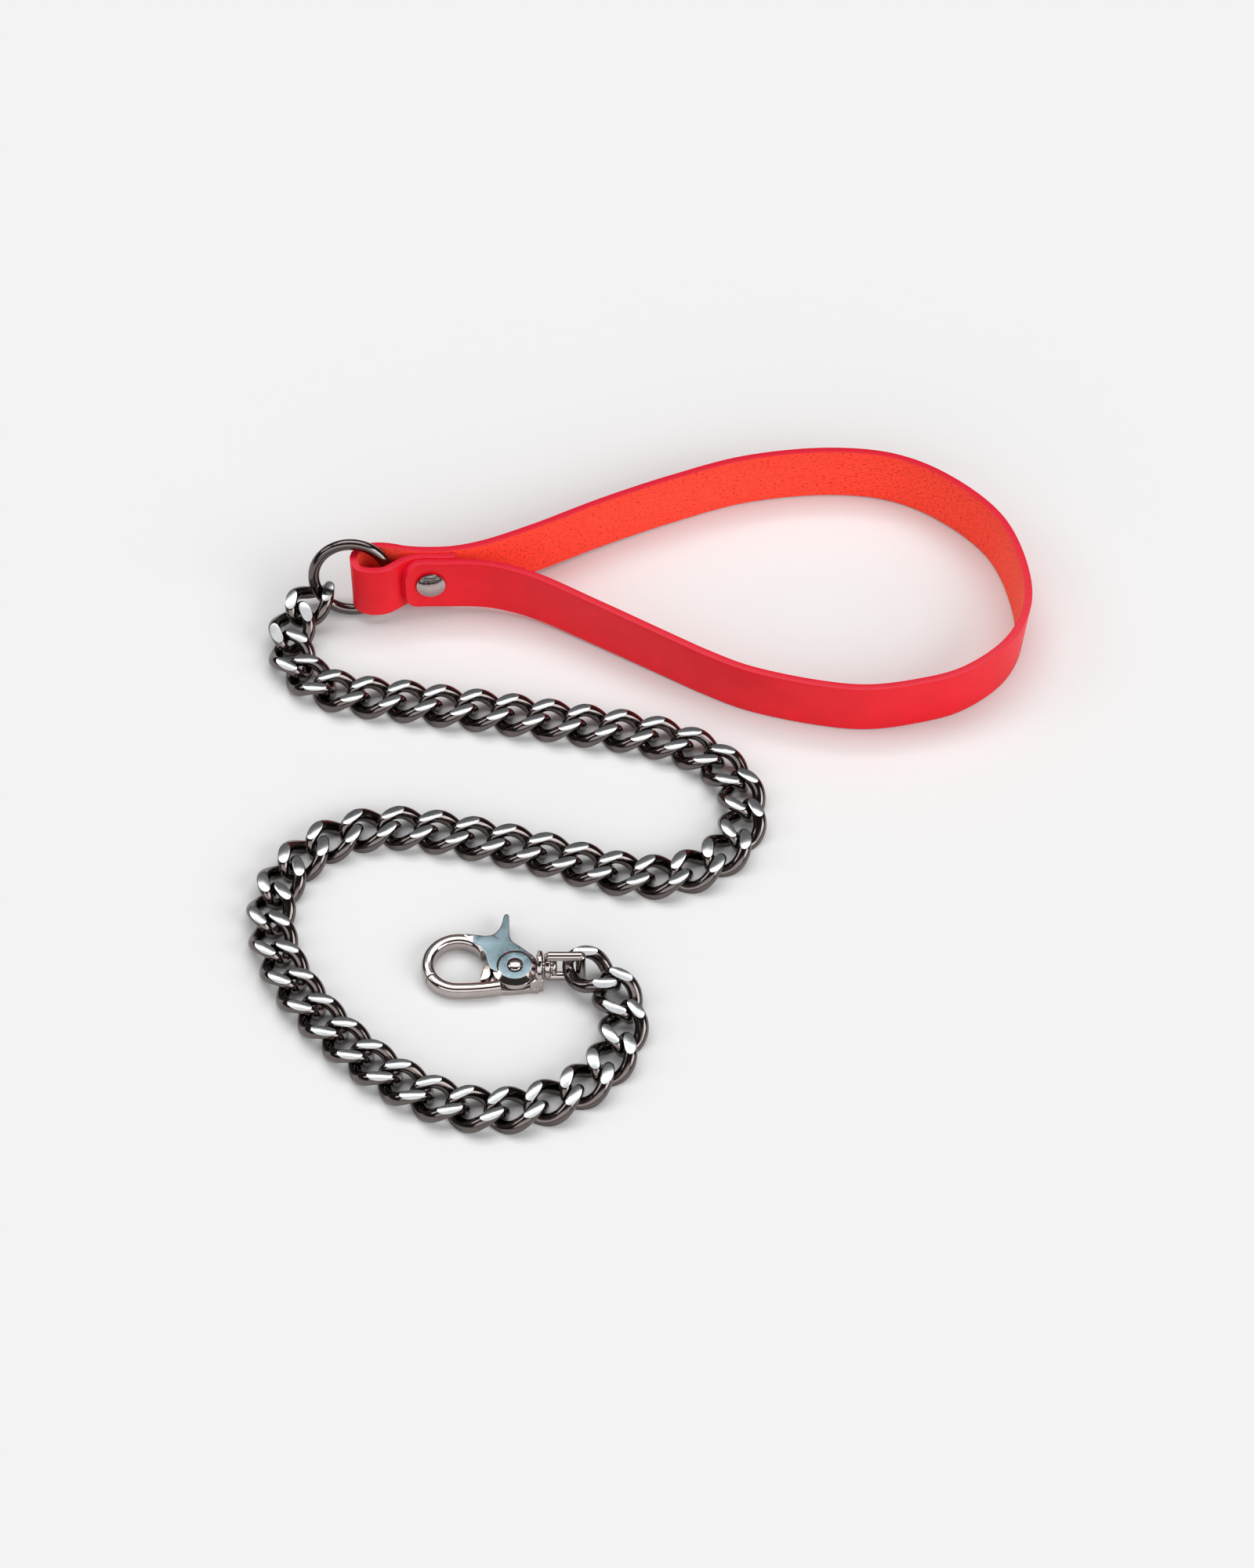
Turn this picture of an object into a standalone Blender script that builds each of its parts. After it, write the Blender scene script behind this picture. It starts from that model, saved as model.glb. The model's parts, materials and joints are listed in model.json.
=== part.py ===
"""A chain leash laid out on a floor: leather wrist handle, O-ring, planed curb chain and trigger snap.

Lengths are in millimetres inside this file and become metres when a mesh is made.
+X runs along the handle away from the ring, +Y across the layout, +Z up from the floor.
"""

import math

import bmesh
import bpy
from mathutils import Matrix, Vector

MM = 0.001

# Leather handle: one strap, folded round the ring and riveted to itself.
STRAP_WIDTH = 19.0
STRAP_THICK = 2.6
STRAP_EDGE = 0.5
STRAP_STATIONS = 96
STRAP_END_RADIUS = 6.0

# Double-cap rivet through the three layers.
RIVET_CENTRE = Vector((-73.1, 81.75, 12.7))
RIVET_AXIS = Vector((0.09, -0.99, 0.11)).normalized()
RIVET_POST_RADIUS = 2.0
RIVET_HOLE_RADIUS = 2.3
RIVET_CAP_RADIUS = 4.9
RIVET_CAP_HEIGHT = 1.5
RIVET_GAP = 0.3

# O-ring.
RING_CENTRE = Vector((-99.4, 80.6, 13.98))
RING_RADIUS = 12.7
RING_WIRE = 1.8
RING_LEAN = math.radians(16.6)
RING_CHAIN_ANGLE = math.radians(212.0)

# Curb chain.
LINK_COUNT = 49
PITCH = 12.1
LINK_HALF_LENGTH = 8.2
LINK_HALF_WIDTH = 6.2
LINK_WIRE = 1.64
LINK_TWIST = math.radians(-50.0)
LINK_PLANE = 3.2
LINK_STEPS = 14
LINK_SIDES = 6
RING_REACH = 4.35
ROUTE_OVERRUN = 14.0

# Trigger snap, lying flat.
JAW_CENTRE = Vector((-60.0, -73.4, 0.0))
JAW_INNER = 8.2
JAW_OUTER = 11.5
JAW_TOP = 5.4
HUB = Vector((-42.1, -75.1, 0.0))
HUB_RADIUS = 7.0
PLATE_TOP = 2.2
GATE_BOTTOM = 2.6
GATE_TOP = 5.8
PIN_RADIUS = 1.5
PIN_HOLE = 1.8
SPRING_INNER = 2.5
SPRING_OUTER = 3.8
SPRING_RISE = 1.0
SPRING_WIRE = 0.3
SPRING_TURNS = 2.0
SWIVEL_Y = -76.2
SWIVEL_Z = 6.7
COLLAR_RADIUS = 4.6
STUD_RADIUS = 1.6
STUD_HOLE = 1.9
BAR_X = -21.5
BAR_RADIUS = 1.6
FRAME_HALF = 5.4
FRAME_TURN = math.radians(92.0)

# Strap route, tail end first: x, y at the lower edge, its height, and the upper edge's lean in x and y.
STRAP_ROUTE = (
    (-64.8, 81.3, 3.0, 0.0, 2.1),
    (-70.0, 81.0, 3.1, 0.0, 2.1),
    (-76.0, 80.75, 3.4, 0.0, 2.1),
    (-79.5, 79.9, 3.6, 0.0, 2.1),
    (-82.0, 78.4, 3.8, 0.0, 2.1),
    (-84.5, 76.2, 4.1, 0.0, 2.1),
    (-87.5, 74.2, 4.1, 0.0, 2.1),
    (-91.0, 73.5, 4.1, 0.0, 2.1),
    (-94.2, 73.8, 4.1, 0.0, 2.1),
    (-96.7, 75.2, 4.1, 0.0, 2.1),
    (-97.9, 77.6, 4.1, 0.0, 2.1),
    (-97.9, 80.6, 4.1, 0.0, 2.1),
    (-96.5, 83.0, 4.1, 0.0, 2.1),
    (-93.6, 84.5, 4.1, 0.0, 2.1),
    (-90.0, 84.9, 4.1, 0.0, 2.1),
    (-86.0, 84.6, 3.9, 0.0, 2.1),
    (-82.0, 83.9, 3.7, 0.0, 2.1),
    (-78.0, 83.6, 3.5, 0.0, 2.1),
    (-73.0, 83.7, 3.2, 0.0, 2.1),
    (-65.0, 84.5, 2.9, 0.0, 2.1),
    (-55.0, 87.6, 2.3, 0.0, 2.2),
    (-38.4, 95.6, 1.4, 0.0, 2.4),
    (-15.0, 108.2, 0.7, 0.0, 2.6),
    (8.6, 119.2, 0.3, 0.2, 2.6),
    (33.7, 128.4, 0.2, 0.5, 2.5),
    (63.2, 132.1, 0.2, 0.8, 2.4),
    (84.2, 129.2, 0.2, 1.3, 2.2),
    (100.9, 119.9, 0.2, 1.8, 1.7),
    (116.8, 102.6, 0.2, 2.2, 1.0),
    (123.9, 79.8, 0.2, 2.2, 0.5),
    (124.1, 62.4, 0.2, 1.6, 0.3),
    (117.6, 47.2, 0.2, 0.6, 0.4),
    (103.0, 34.6, 0.2, 0.1, 0.6),
    (87.2, 29.2, 0.2, 0.0, 0.8),
    (71.8, 26.9, 0.2, 0.0, 0.9),
    (56.4, 28.6, 0.2, 0.0, 0.9),
    (33.0, 35.0, 0.2, 0.0, 0.9),
    (19.8, 41.4, 0.3, 0.0, 0.9),
    (5.3, 49.8, 0.5, 0.0, 1.0),
    (-16.4, 62.4, 0.9, 0.0, 1.3),
    (-38.5, 74.2, 1.7, 0.0, 1.7),
    (-51.9, 78.1, 2.3, 0.0, 2.0),
    (-60.0, 78.6, 2.7, 0.0, 2.1),
    (-66.0, 78.35, 3.0, 0.0, 2.1),
    (-72.0, 78.15, 3.2, 0.0, 2.1),
    (-77.0, 77.75, 3.4, 0.0, 2.1),
    (-80.0, 76.5, 3.6, 0.0, 2.1),
    (-81.6, 75.2, 3.7, 0.0, 2.1),
)

# Chain route from the ring to the snap: x, y, z of the links' mid line.
CHAIN_ROUTE = (
    (-117.2, 71.5, 6.4),
    (-120.6, 63.2, 4.6),
    (-119.7, 54.7, 3.6),
    (-115.1, 46.6, 3.3),
    (-107.6, 40.7, 3.2),
    (-98.0, 37.6, 3.2),
    (-87.0, 36.1, 3.2),
    (-76.0, 34.4, 3.2),
    (-66.0, 32.7, 3.2),
    (-49.4, 30.1, 3.2),
    (-26.1, 25.6, 3.2),
    (-2.9, 21.2, 3.2),
    (8.9, 17.6, 3.2),
    (20.3, 11.0, 3.2),
    (28.6, 1.2, 3.2),
    (31.4, -11.0, 3.2),
    (28.8, -22.9, 3.2),
    (21.4, -31.8, 3.2),
    (11.0, -37.3, 3.2),
    (-0.7, -38.6, 3.2),
    (-12.3, -36.4, 3.2),
    (-34.2, -28.8, 3.2),
    (-58.2, -22.2, 3.2),
    (-81.3, -18.1, 3.2),
    (-93.6, -19.3, 3.2),
    (-104.6, -24.2, 3.2),
    (-113.4, -32.6, 3.2),
    (-119.0, -43.0, 3.2),
    (-120.6, -54.8, 3.2),
    (-117.6, -68.1, 3.2),
    (-112.1, -80.4, 3.2),
    (-104.4, -91.6, 3.2),
    (-86.1, -111.2, 3.2),
    (-65.6, -125.0, 3.2),
    (-54.0, -128.4, 3.2),
    (-41.8, -128.6, 3.2),
    (-30.3, -125.5, 3.2),
    (-19.2, -118.4, 3.2),
    (-10.8, -109.0, 3.25),
    (-7.8, -97.6, 3.3),
    (-8.1, -87.8, 3.6),
    (-12.1, -80.8, 4.3),
    (-17.7, -78.0, 4.9),
)

GUNMETAL = (0.09, 0.085, 0.09, 1.0)
NICKEL = (0.30, 0.29, 0.29, 1.0)
LEATHER = (0.55, 0.008, 0.02, 1.0)


def clear_scene():
    """Removes whatever the start-up scene holds."""
    for obj in list(bpy.data.objects):
        bpy.data.objects.remove(obj, do_unlink=True)


def new_collection(name):
    """A collection linked under the scene's own."""
    made = bpy.data.collections.new(name)
    bpy.context.scene.collection.children.link(made)
    return made


def new_material(name, colour, metallic, roughness):
    """A Principled material with the three values that matter here."""
    made = bpy.data.materials.new(name)
    made.use_nodes = True
    shader = made.node_tree.nodes["Principled BSDF"]
    shader.inputs["Base Color"].default_value = colour
    shader.inputs["Metallic"].default_value = metallic
    shader.inputs["Roughness"].default_value = roughness
    return made


def new_object(name, mesh, collection, material, origin=(0.0, 0.0, 0.0)):
    """An object whose origin stands at the given point, in millimetres, with its mesh left in place."""
    origin = Vector(origin) * MM
    mesh.transform(Matrix.Translation(-origin))
    obj = bpy.data.objects.new(name, mesh)
    obj.location = origin
    if material:
        mesh.materials.append(material)
    collection.objects.link(obj)
    return obj


def route_points(route, count):
    """Evenly spaced samples of a smooth centripetal curve through every entry of the route."""
    keys = [Vector(entry) for entry in route]
    keys.insert(0, keys[0] * 2 - keys[1])
    keys.append(keys[-1] * 2 - keys[-2])
    fine = []
    for a, b, c, d in zip(keys, keys[1:], keys[2:], keys[3:]):
        t1 = math.sqrt((b - a).length)
        t2 = t1 + math.sqrt((c - b).length)
        t3 = t2 + math.sqrt((d - c).length)
        for step in range(40):
            t = t1 + (t2 - t1) * step / 40
            ab = a * ((t1 - t) / t1) + b * (t / t1)
            bc = b * ((t2 - t) / (t2 - t1)) + c * ((t - t1) / (t2 - t1))
            cd = c * ((t3 - t) / (t3 - t2)) + d * ((t - t2) / (t3 - t2))
            abc = ab * ((t2 - t) / t2) + bc * (t / t2)
            bcd = bc * ((t3 - t) / (t3 - t1)) + cd * ((t - t1) / (t3 - t1))
            fine.append(abc * ((t2 - t) / (t2 - t1)) + bcd * ((t - t1) / (t2 - t1)))
    fine.append(keys[-2])
    if not count:
        return fine
    lengths = [0.0]
    for a, b in zip(fine, fine[1:]):
        lengths.append(lengths[-1] + (b - a).length)
    samples = []
    at = 0
    for step in range(count):
        goal = lengths[-1] * step / (count - 1)
        while at < len(fine) - 2 and lengths[at + 1] < goal:
            at += 1
        share = (goal - lengths[at]) / (lengths[at + 1] - lengths[at])
        samples.append(fine[at].lerp(fine[at + 1], share))
    return samples


def mesh_of_rings(name, rings, closed):
    """A tube through equal rings of points, joined end to end or capped."""
    bm = bmesh.new()
    rows = [[bm.verts.new(Vector(point) * MM) for point in ring] for ring in rings]
    size = len(rows[0])
    last = len(rows) if closed else len(rows) - 1
    for i in range(last):
        near = rows[i]
        far = rows[(i + 1) % len(rows)]
        for j in range(size):
            k = (j + 1) % size
            bm.faces.new((near[j], far[j], far[k], near[k]))
    if not closed:
        bm.faces.new(rows[0])
        bm.faces.new(rows[-1][::-1])
    bmesh.ops.recalc_face_normals(bm, faces=bm.faces)
    mesh = bpy.data.meshes.new(name)
    bm.to_mesh(mesh)
    bm.free()
    return mesh


def strap_frames():
    """Centre, across and outward vectors and half width of each strap station."""
    samples = route_points(STRAP_ROUTE, STRAP_STATIONS)
    total = sum((b - a).xy.length for a, b in zip(samples, samples[1:]))
    frames = []
    run = 0.0
    for i, here in enumerate(samples):
        before = samples[max(i - 1, 0)]
        after = samples[min(i + 1, len(samples) - 1)]
        run += (here - before).xy.length
        along = (after.xyz - before.xyz).normalized()
        up = Vector((here[3], here[4], STRAP_WIDTH)).normalized()
        up = (up - along * up.dot(along)).normalized()
        out = along.cross(up)
        left = min(total - run, STRAP_END_RADIUS)
        missing = STRAP_END_RADIUS - left
        cut = STRAP_END_RADIUS - math.sqrt(STRAP_END_RADIUS**2 - missing**2)
        half = STRAP_WIDTH / 2 - cut * 0.93
        frames.append((here.xyz + up * (STRAP_WIDTH / 2), up, out, half))
    return frames


def strap_mesh():
    """The strap as one bent bar of leather with eased edges and a rounded visible end."""
    rings = []
    half = STRAP_THICK / 2
    ease = STRAP_EDGE
    for centre, up, out, width in strap_frames():
        outline = (
            (width - ease, half),
            (width, half - ease),
            (width, ease - half),
            (width - ease, -half),
            (ease - width, -half),
            (-width, ease - half),
            (-width, half - ease),
            (ease - width, half),
        )
        rings.append([centre + up * u + out * v for u, v in outline])
    return mesh_of_rings("strap", rings, False)


def lathe_mesh(name, profile, centre, axis, sides):
    """A turned solid: profile points are (distance along the axis, radius), both ends on the axis."""
    axis = Vector(axis).normalized()
    turn = axis.to_track_quat("Z", "Y")
    bm = bmesh.new()
    rows = []
    for along, radius in profile:
        if radius == 0.0:
            rows.append([bm.verts.new((Vector(centre) + turn @ Vector((0, 0, along))) * MM)])
            continue
        row = []
        for j in range(sides):
            angle = 2 * math.pi * j / sides
            spot = Vector((radius * math.cos(angle), radius * math.sin(angle), along))
            row.append(bm.verts.new((Vector(centre) + turn @ spot) * MM))
        rows.append(row)
    for near, far in zip(rows, rows[1:]):
        for j in range(sides):
            k = (j + 1) % sides
            corners = [near[j % len(near)], near[k % len(near)], far[k % len(far)], far[j % len(far)]]
            unique = list(dict.fromkeys(corners))
            bm.faces.new(unique)
    bmesh.ops.recalc_face_normals(bm, faces=bm.faces)
    mesh = bpy.data.meshes.new(name)
    bm.to_mesh(mesh)
    bm.free()
    return mesh


def rod_mesh(name, start, end, radius, sides):
    """A plain round rod between two points."""
    axis = Vector(end) - Vector(start)
    profile = ((0.0, 0.0), (0.0, radius), (axis.length, radius), (axis.length, 0.0))
    return lathe_mesh(name, profile, start, axis, sides)


def plate_mesh(name, outline, bottom, top):
    """A flat plate with the given outline between two heights."""
    rings = [[(x, y, z) for x, y in outline] for z in (bottom, top)]
    return mesh_of_rings(name, rings, False)


def arc_mesh(name, start, end, steps):
    """A stretch of the snap's round eye, as a bar with eased corners."""
    ease = 0.8
    rings = []
    for i in range(steps + 1):
        angle = math.radians(start + (end - start) * i / steps)
        outward = Vector((math.cos(angle), math.sin(angle), 0.0))
        section = (
            (JAW_INNER, ease + 0.1),
            (JAW_INNER + ease, 0.1),
            (JAW_OUTER - ease, 0.1),
            (JAW_OUTER, ease + 0.1),
            (JAW_OUTER, JAW_TOP - ease),
            (JAW_OUTER - ease, JAW_TOP),
            (JAW_INNER + ease, JAW_TOP),
            (JAW_INNER, JAW_TOP - ease),
        )
        rings.append([JAW_CENTRE + outward * r + Vector((0, 0, z)) for r, z in section])
    return mesh_of_rings(name, rings, False)


def ring_point(angle):
    """Point of the O-ring's wire centre at an angle in its own plane."""
    up = Vector((0.0, math.sin(RING_LEAN), math.cos(RING_LEAN)))
    return RING_CENTRE + (Vector((1, 0, 0)) * math.cos(angle) + up * math.sin(angle)) * RING_RADIUS


def ring_mesh():
    """The O-ring, leaning back on the floor."""
    normal = Vector((0.0, -math.cos(RING_LEAN), math.sin(RING_LEAN)))
    rings = []
    for i in range(28):
        angle = 2 * math.pi * i / 28
        spot = ring_point(angle)
        outward = (spot - RING_CENTRE).normalized()
        ring = []
        for j in range(8):
            turn = 2 * math.pi * (j + 0.5) / 8
            ring.append(spot + (outward * math.cos(turn) + normal * math.sin(turn)) * RING_WIRE)
        rings.append(ring)
    return mesh_of_rings("o_ring", rings, True)


def link_mesh(steps, sides):
    """One curb link: an oval of wire twisted about its length, planed flat above and below.

    The link runs along +X with its near joint at the origin.
    """
    rings = []
    for i in range(steps):
        u = 2 * math.pi * i / steps
        twist = LINK_TWIST * math.cos(u)
        side = LINK_HALF_WIDTH * math.sin(u)
        spot = Vector((LINK_HALF_LENGTH * math.cos(u), side * math.cos(twist), side * math.sin(twist)))
        slope = LINK_HALF_WIDTH * math.cos(u)
        swing = -LINK_TWIST * math.sin(u)
        along = Vector(
            (
                -LINK_HALF_LENGTH * math.sin(u),
                slope * math.cos(twist) - side * math.sin(twist) * swing,
                slope * math.sin(twist) + side * math.cos(twist) * swing,
            )
        ).normalized()
        outward = Vector(
            (
                LINK_HALF_WIDTH * math.cos(u),
                LINK_HALF_LENGTH * math.sin(u) * math.cos(twist),
                LINK_HALF_LENGTH * math.sin(u) * math.sin(twist),
            )
        )
        outward = (outward - along * outward.dot(along)).normalized()
        across = along.cross(outward)
        ring = []
        for j in range(sides):
            turn = 2 * math.pi * (j + 0.5) / sides
            point = spot + (outward * math.cos(turn) + across * math.sin(turn)) * LINK_WIRE
            point.z = max(-LINK_PLANE, min(LINK_PLANE, point.z))
            point.x += PITCH / 2
            ring.append(point)
        rings.append(ring)
    return mesh_of_rings("curb_link", rings, True)


def chain_frames():
    """Joint point and rotation of every link, marched along the route at one pitch."""
    start = ring_point(RING_CHAIN_ANGLE)
    bar = Vector((BAR_X, SWIVEL_Y, SWIVEL_Z))
    first = Vector(CHAIN_ROUTE[0]) - start
    last = bar - Vector(CHAIN_ROUTE[-1])
    begin = start - first.normalized() * (PITCH / 2 - RING_REACH)
    finish = bar + last.normalized() * ROUTE_OVERRUN
    route = (begin, *CHAIN_ROUTE, finish)
    fine = route_points(route, 0)
    frames = []
    here = fine[0].copy()
    at = 0
    for _ in range(LINK_COUNT):
        while at < len(fine) - 1 and (fine[at + 1] - here).length < PITCH:
            at += 1
        low = 0.0
        high = 1.0
        for _ in range(30):
            mid = (low + high) / 2
            if (fine[at].lerp(fine[at + 1], mid) - here).length < PITCH:
                low = mid
            else:
                high = mid
        after = fine[at].lerp(fine[at + 1], low)
        along = (after - here).normalized()
        left = Vector((0, 0, 1)).cross(along).normalized()
        up = along.cross(left)
        frames.append((here, Matrix((along, left, up)).transposed()))
        here = after
    frames.append((here, frames[-1][1]))
    return frames


def join_solids(target, meshes, cutters, operation):
    """Applies each mesh to the target with an exact Boolean, through helper objects kept out of the render."""
    for i, mesh in enumerate(meshes):
        helper = new_object(f"{target.name}_{operation.lower()}_{i}", mesh, cutters, None)
        helper.hide_render = True
        helper.display_type = "WIRE"
        modifier = target.modifiers.new(helper.name, "BOOLEAN")
        modifier.operation = operation
        modifier.solver = "EXACT"
        modifier.object = helper


def build_handle(parts, cutters, leather, metal):
    """Leather strap, its rivet and the O-ring in its fold."""
    centre = RIVET_CENTRE
    outward = RIVET_AXIS
    strap = new_object("handle_strap", strap_mesh(), parts, leather)
    hole = rod_mesh("rivet_hole", centre - outward * 9.0, centre + outward * 9.0, RIVET_HOLE_RADIUS, 16)
    join_solids(strap, [hole], cutters, "DIFFERENCE")
    reach = 1.5 * STRAP_THICK + 0.3 + RIVET_GAP
    low = reach + RIVET_CAP_HEIGHT
    rear = reach + 0.35
    front = (
        (-reach - 0.2, 0.0),
        (-reach - 0.2, RIVET_POST_RADIUS),
        (reach, RIVET_POST_RADIUS),
        (reach, RIVET_CAP_RADIUS),
        (reach + 0.5, RIVET_CAP_RADIUS),
        (reach + 1.0, RIVET_CAP_RADIUS * 0.84),
        (reach + 1.35, RIVET_CAP_RADIUS * 0.5),
        (low, 0.0),
    )
    cap = lathe_mesh("rivet_front", front, centre, outward, 20)
    new_object("rivet_front", cap, parts, metal, centre)
    back = (
        (rear + 0.6, 0.0),
        (rear + 0.6, RIVET_POST_RADIUS + 0.4),
        (rear, RIVET_POST_RADIUS + 0.4),
        (rear, RIVET_CAP_RADIUS),
        (rear + 0.5, RIVET_CAP_RADIUS),
        (rear + 1.1, RIVET_CAP_RADIUS * 0.84),
        (rear + 1.5, RIVET_CAP_RADIUS * 0.5),
        (rear + 1.65, 0.0),
    )
    cap = lathe_mesh("rivet_back", back, centre, -outward, 20)
    new_object("rivet_back", cap, parts, metal, centre)
    new_object("o_ring", ring_mesh(), parts, metal, RING_CENTRE)


def build_chain(parts, metal):
    """Every link as its own object, its origin on the joint nearer the ring."""
    mesh = link_mesh(LINK_STEPS, LINK_SIDES)
    mesh.materials.append(metal)
    for i, (spot, turn) in enumerate(chain_frames()[:-1]):
        link = bpy.data.objects.new(f"link_{i:02d}", mesh)
        link.matrix_world = Matrix.Translation(spot * MM) @ turn.to_4x4()
        parts.objects.link(link)


def build_snap(parts, cutters, metal):
    """Snap body, gate with thumb lever, pivot pin, gate spring and the swivel that carries the chain."""
    plate = (
        (-52.0, -84.2),
        (-42.0, -84.0),
        (-37.0, -81.6),
        (-34.6, -80.2),
        (-34.6, -72.2),
        (-37.4, -70.0),
        (-42.0, -68.2),
        (-47.0, -69.8),
        (-49.6, -73.0),
        (-51.2, -78.6),
    )
    rail = (
        (-54.0, -84.4),
        (-48.0, -84.5),
        (-42.0, -84.2),
        (-36.6, -82.0),
        (-34.4, -80.2),
        (-34.4, -79.2),
        (-37.2, -80.9),
        (-42.1, -82.6),
        (-46.8, -81.3),
        (-49.6, -79.0),
        (-51.6, -77.4),
        (-52.6, -79.2),
    )
    body = new_object("snap_body", arc_mesh("jaw", 212.3, 322.0, 14), parts, metal, HUB)
    collar = lathe_mesh(
        "collar",
        ((0.0, 0.0), (0.0, 3.4), (1.2, COLLAR_RADIUS), (2.4, COLLAR_RADIUS), (2.9, 3.7), (2.9, 0.0)),
        (-36.1, SWIVEL_Y, SWIVEL_Z),
        (1, 0, 0),
        20,
    )
    neck = plate_mesh("neck", ((-37.0, -79.6), (-34.2, -79.8), (-34.2, -72.6), (-35.4, -73.0)), 0.5, 6.0)
    solids = [
        plate_mesh("plate", plate, 0.0, PLATE_TOP),
        plate_mesh("rail", rail, 0.3, JAW_TOP - 0.4),
        neck,
        collar,
    ]
    join_solids(body, solids, cutters, "UNION")
    clearances = [
        rod_mesh("pin_hole", HUB + Vector((0, 0, -1)), HUB + Vector((0, 0, 9)), PIN_HOLE, 16),
        rod_mesh(
            "hub_room",
            HUB + Vector((0, 0, PLATE_TOP - 0.1)),
            HUB + Vector((0, 0, 12)),
            HUB_RADIUS + 0.4,
            32,
        ),
        rod_mesh("stud_bore", (-35.2, SWIVEL_Y, SWIVEL_Z), (-30.0, SWIVEL_Y, SWIVEL_Z), STUD_HOLE, 16),
    ]
    join_solids(body, clearances, cutters, "DIFFERENCE")

    lever = (
        (-58.0, -62.7),
        (-54.6, -62.3),
        (-50.3, -62.6),
        (-47.6, -61.2),
        (-46.2, -58.8),
        (-45.7, -55.6),
        (-45.1, -54.8),
        (-44.3, -55.0),
        (-44.0, -58.8),
        (-44.0, -65.2),
        (-39.9, -68.2),
        (-36.8, -71.6),
        (-42.1, -75.1),
        (-49.2, -75.8),
        (-51.1, -73.0),
        (-51.9, -69.6),
        (-54.6, -65.6),
    )
    gate = new_object("snap_gate", arc_mesh("gate_arc", 30.0, 211.0, 22), parts, metal, HUB)
    hub = lathe_mesh(
        "hub",
        (
            (GATE_BOTTOM, 0.0),
            (GATE_BOTTOM, HUB_RADIUS),
            (GATE_TOP - 1.0, HUB_RADIUS),
            (GATE_TOP, HUB_RADIUS - 1.6),
            (GATE_TOP, 0.0),
        ),
        HUB,
        (0, 0, 1),
        32,
    )
    join_solids(gate, [plate_mesh("lever", lever, GATE_BOTTOM, GATE_TOP - 0.4), hub], cutters, "UNION")
    room = [
        rod_mesh("gate_hole", HUB + Vector((0, 0, 1)), HUB + Vector((0, 0, 9)), PIN_HOLE, 16),
        rod_mesh("spring_room", HUB + Vector((0, 0, 1)), HUB + Vector((0, 0, 4.2)), 4.4, 20),
    ]
    join_solids(gate, room, cutters, "DIFFERENCE")

    pin = (
        (0.3, 0.0),
        (0.3, PIN_RADIUS),
        (GATE_TOP + 0.3, PIN_RADIUS),
        (GATE_TOP + 0.3, 2.5),
        (GATE_TOP + 0.7, 2.4),
        (GATE_TOP + 1.15, 1.5),
        (GATE_TOP + 1.3, 0.0),
    )
    new_object("gate_pin", lathe_mesh("gate_pin", pin, HUB, (0, 0, 1), 16), parts, metal, HUB)
    new_object("gate_spring", spring_mesh(), parts, metal, HUB)

    stud = (
        (0.0, 0.0),
        (0.0, STUD_RADIUS),
        (4.1, STUD_RADIUS),
        (4.1, 2.9),
        (5.0, 2.8),
        (5.5, 1.8),
        (5.6, 0.0),
    )
    middle = Vector((-34.4, SWIVEL_Y, SWIVEL_Z))
    new_object("swivel_stud", lathe_mesh("swivel_stud", stud, middle, (1, 0, 0), 16), parts, metal, middle)
    build_eye(parts, cutters, metal)


def spring_mesh():
    """The gate's torsion spring: a coil round the pin that widens as it rises, so its turns stay apart."""
    steps = int(14 * SPRING_TURNS)
    rings = []
    for i in range(steps + 1):
        share = i / steps
        angle = 2 * math.pi * SPRING_TURNS * share
        outward = Vector((math.cos(angle), math.sin(angle), 0.0))
        radius = SPRING_INNER + (SPRING_OUTER - SPRING_INNER) * share
        centre = HUB + outward * radius + Vector((0, 0, GATE_BOTTOM + SPRING_RISE * share))
        ring = []
        for j in range(5):
            turn = 2 * math.pi * j / 5
            side = outward * math.cos(turn) + Vector((0, 0, 1)) * math.sin(turn)
            ring.append(centre + side * SPRING_WIRE)
        rings.append(ring)
    return mesh_of_rings("gate_spring", rings, False)


def build_eye(parts, cutters, metal):
    """The swivel eye: a square frame whose foot turns on the stud and whose far bar carries the chain."""
    middle = Vector((-32.9, SWIVEL_Y, SWIVEL_Z))
    foot = lathe_mesh(
        "eye_foot",
        ((0.0, 0.0), (0.0, 3.4), (0.4, 3.8), (1.7, 3.8), (2.1, 3.4), (2.1, 0.0)),
        middle,
        (1, 0, 0),
        16,
    )
    eye = new_object("swivel_eye", foot, parts, metal, middle)
    across = Vector((0.0, math.cos(FRAME_TURN), math.sin(FRAME_TURN)))
    solids = []
    for side in (-1, 1):
        corner = middle + across * (side * FRAME_HALF)
        start = corner + Vector((1.2, 0, 0))
        end = corner + Vector((BAR_X + 0.4 - middle.x, 0, 0))
        solids.append(rod_mesh("eye_arm", start, end, 1.25, 10))
    for run, radius in ((1.05, 1.05), (BAR_X - middle.x, BAR_RADIUS)):
        centre = middle + Vector((run, 0, 0))
        reach = across * (FRAME_HALF + 0.6)
        solids.append(rod_mesh("eye_bar", centre - reach, centre + reach, radius, 12))
    join_solids(eye, solids, cutters, "UNION")
    bore = rod_mesh(
        "eye_bore",
        (middle.x - 1.0, SWIVEL_Y, SWIVEL_Z),
        (middle.x + 3.0, SWIVEL_Y, SWIVEL_Z),
        STUD_HOLE,
        16,
    )
    join_solids(eye, [bore], cutters, "DIFFERENCE")


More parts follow.
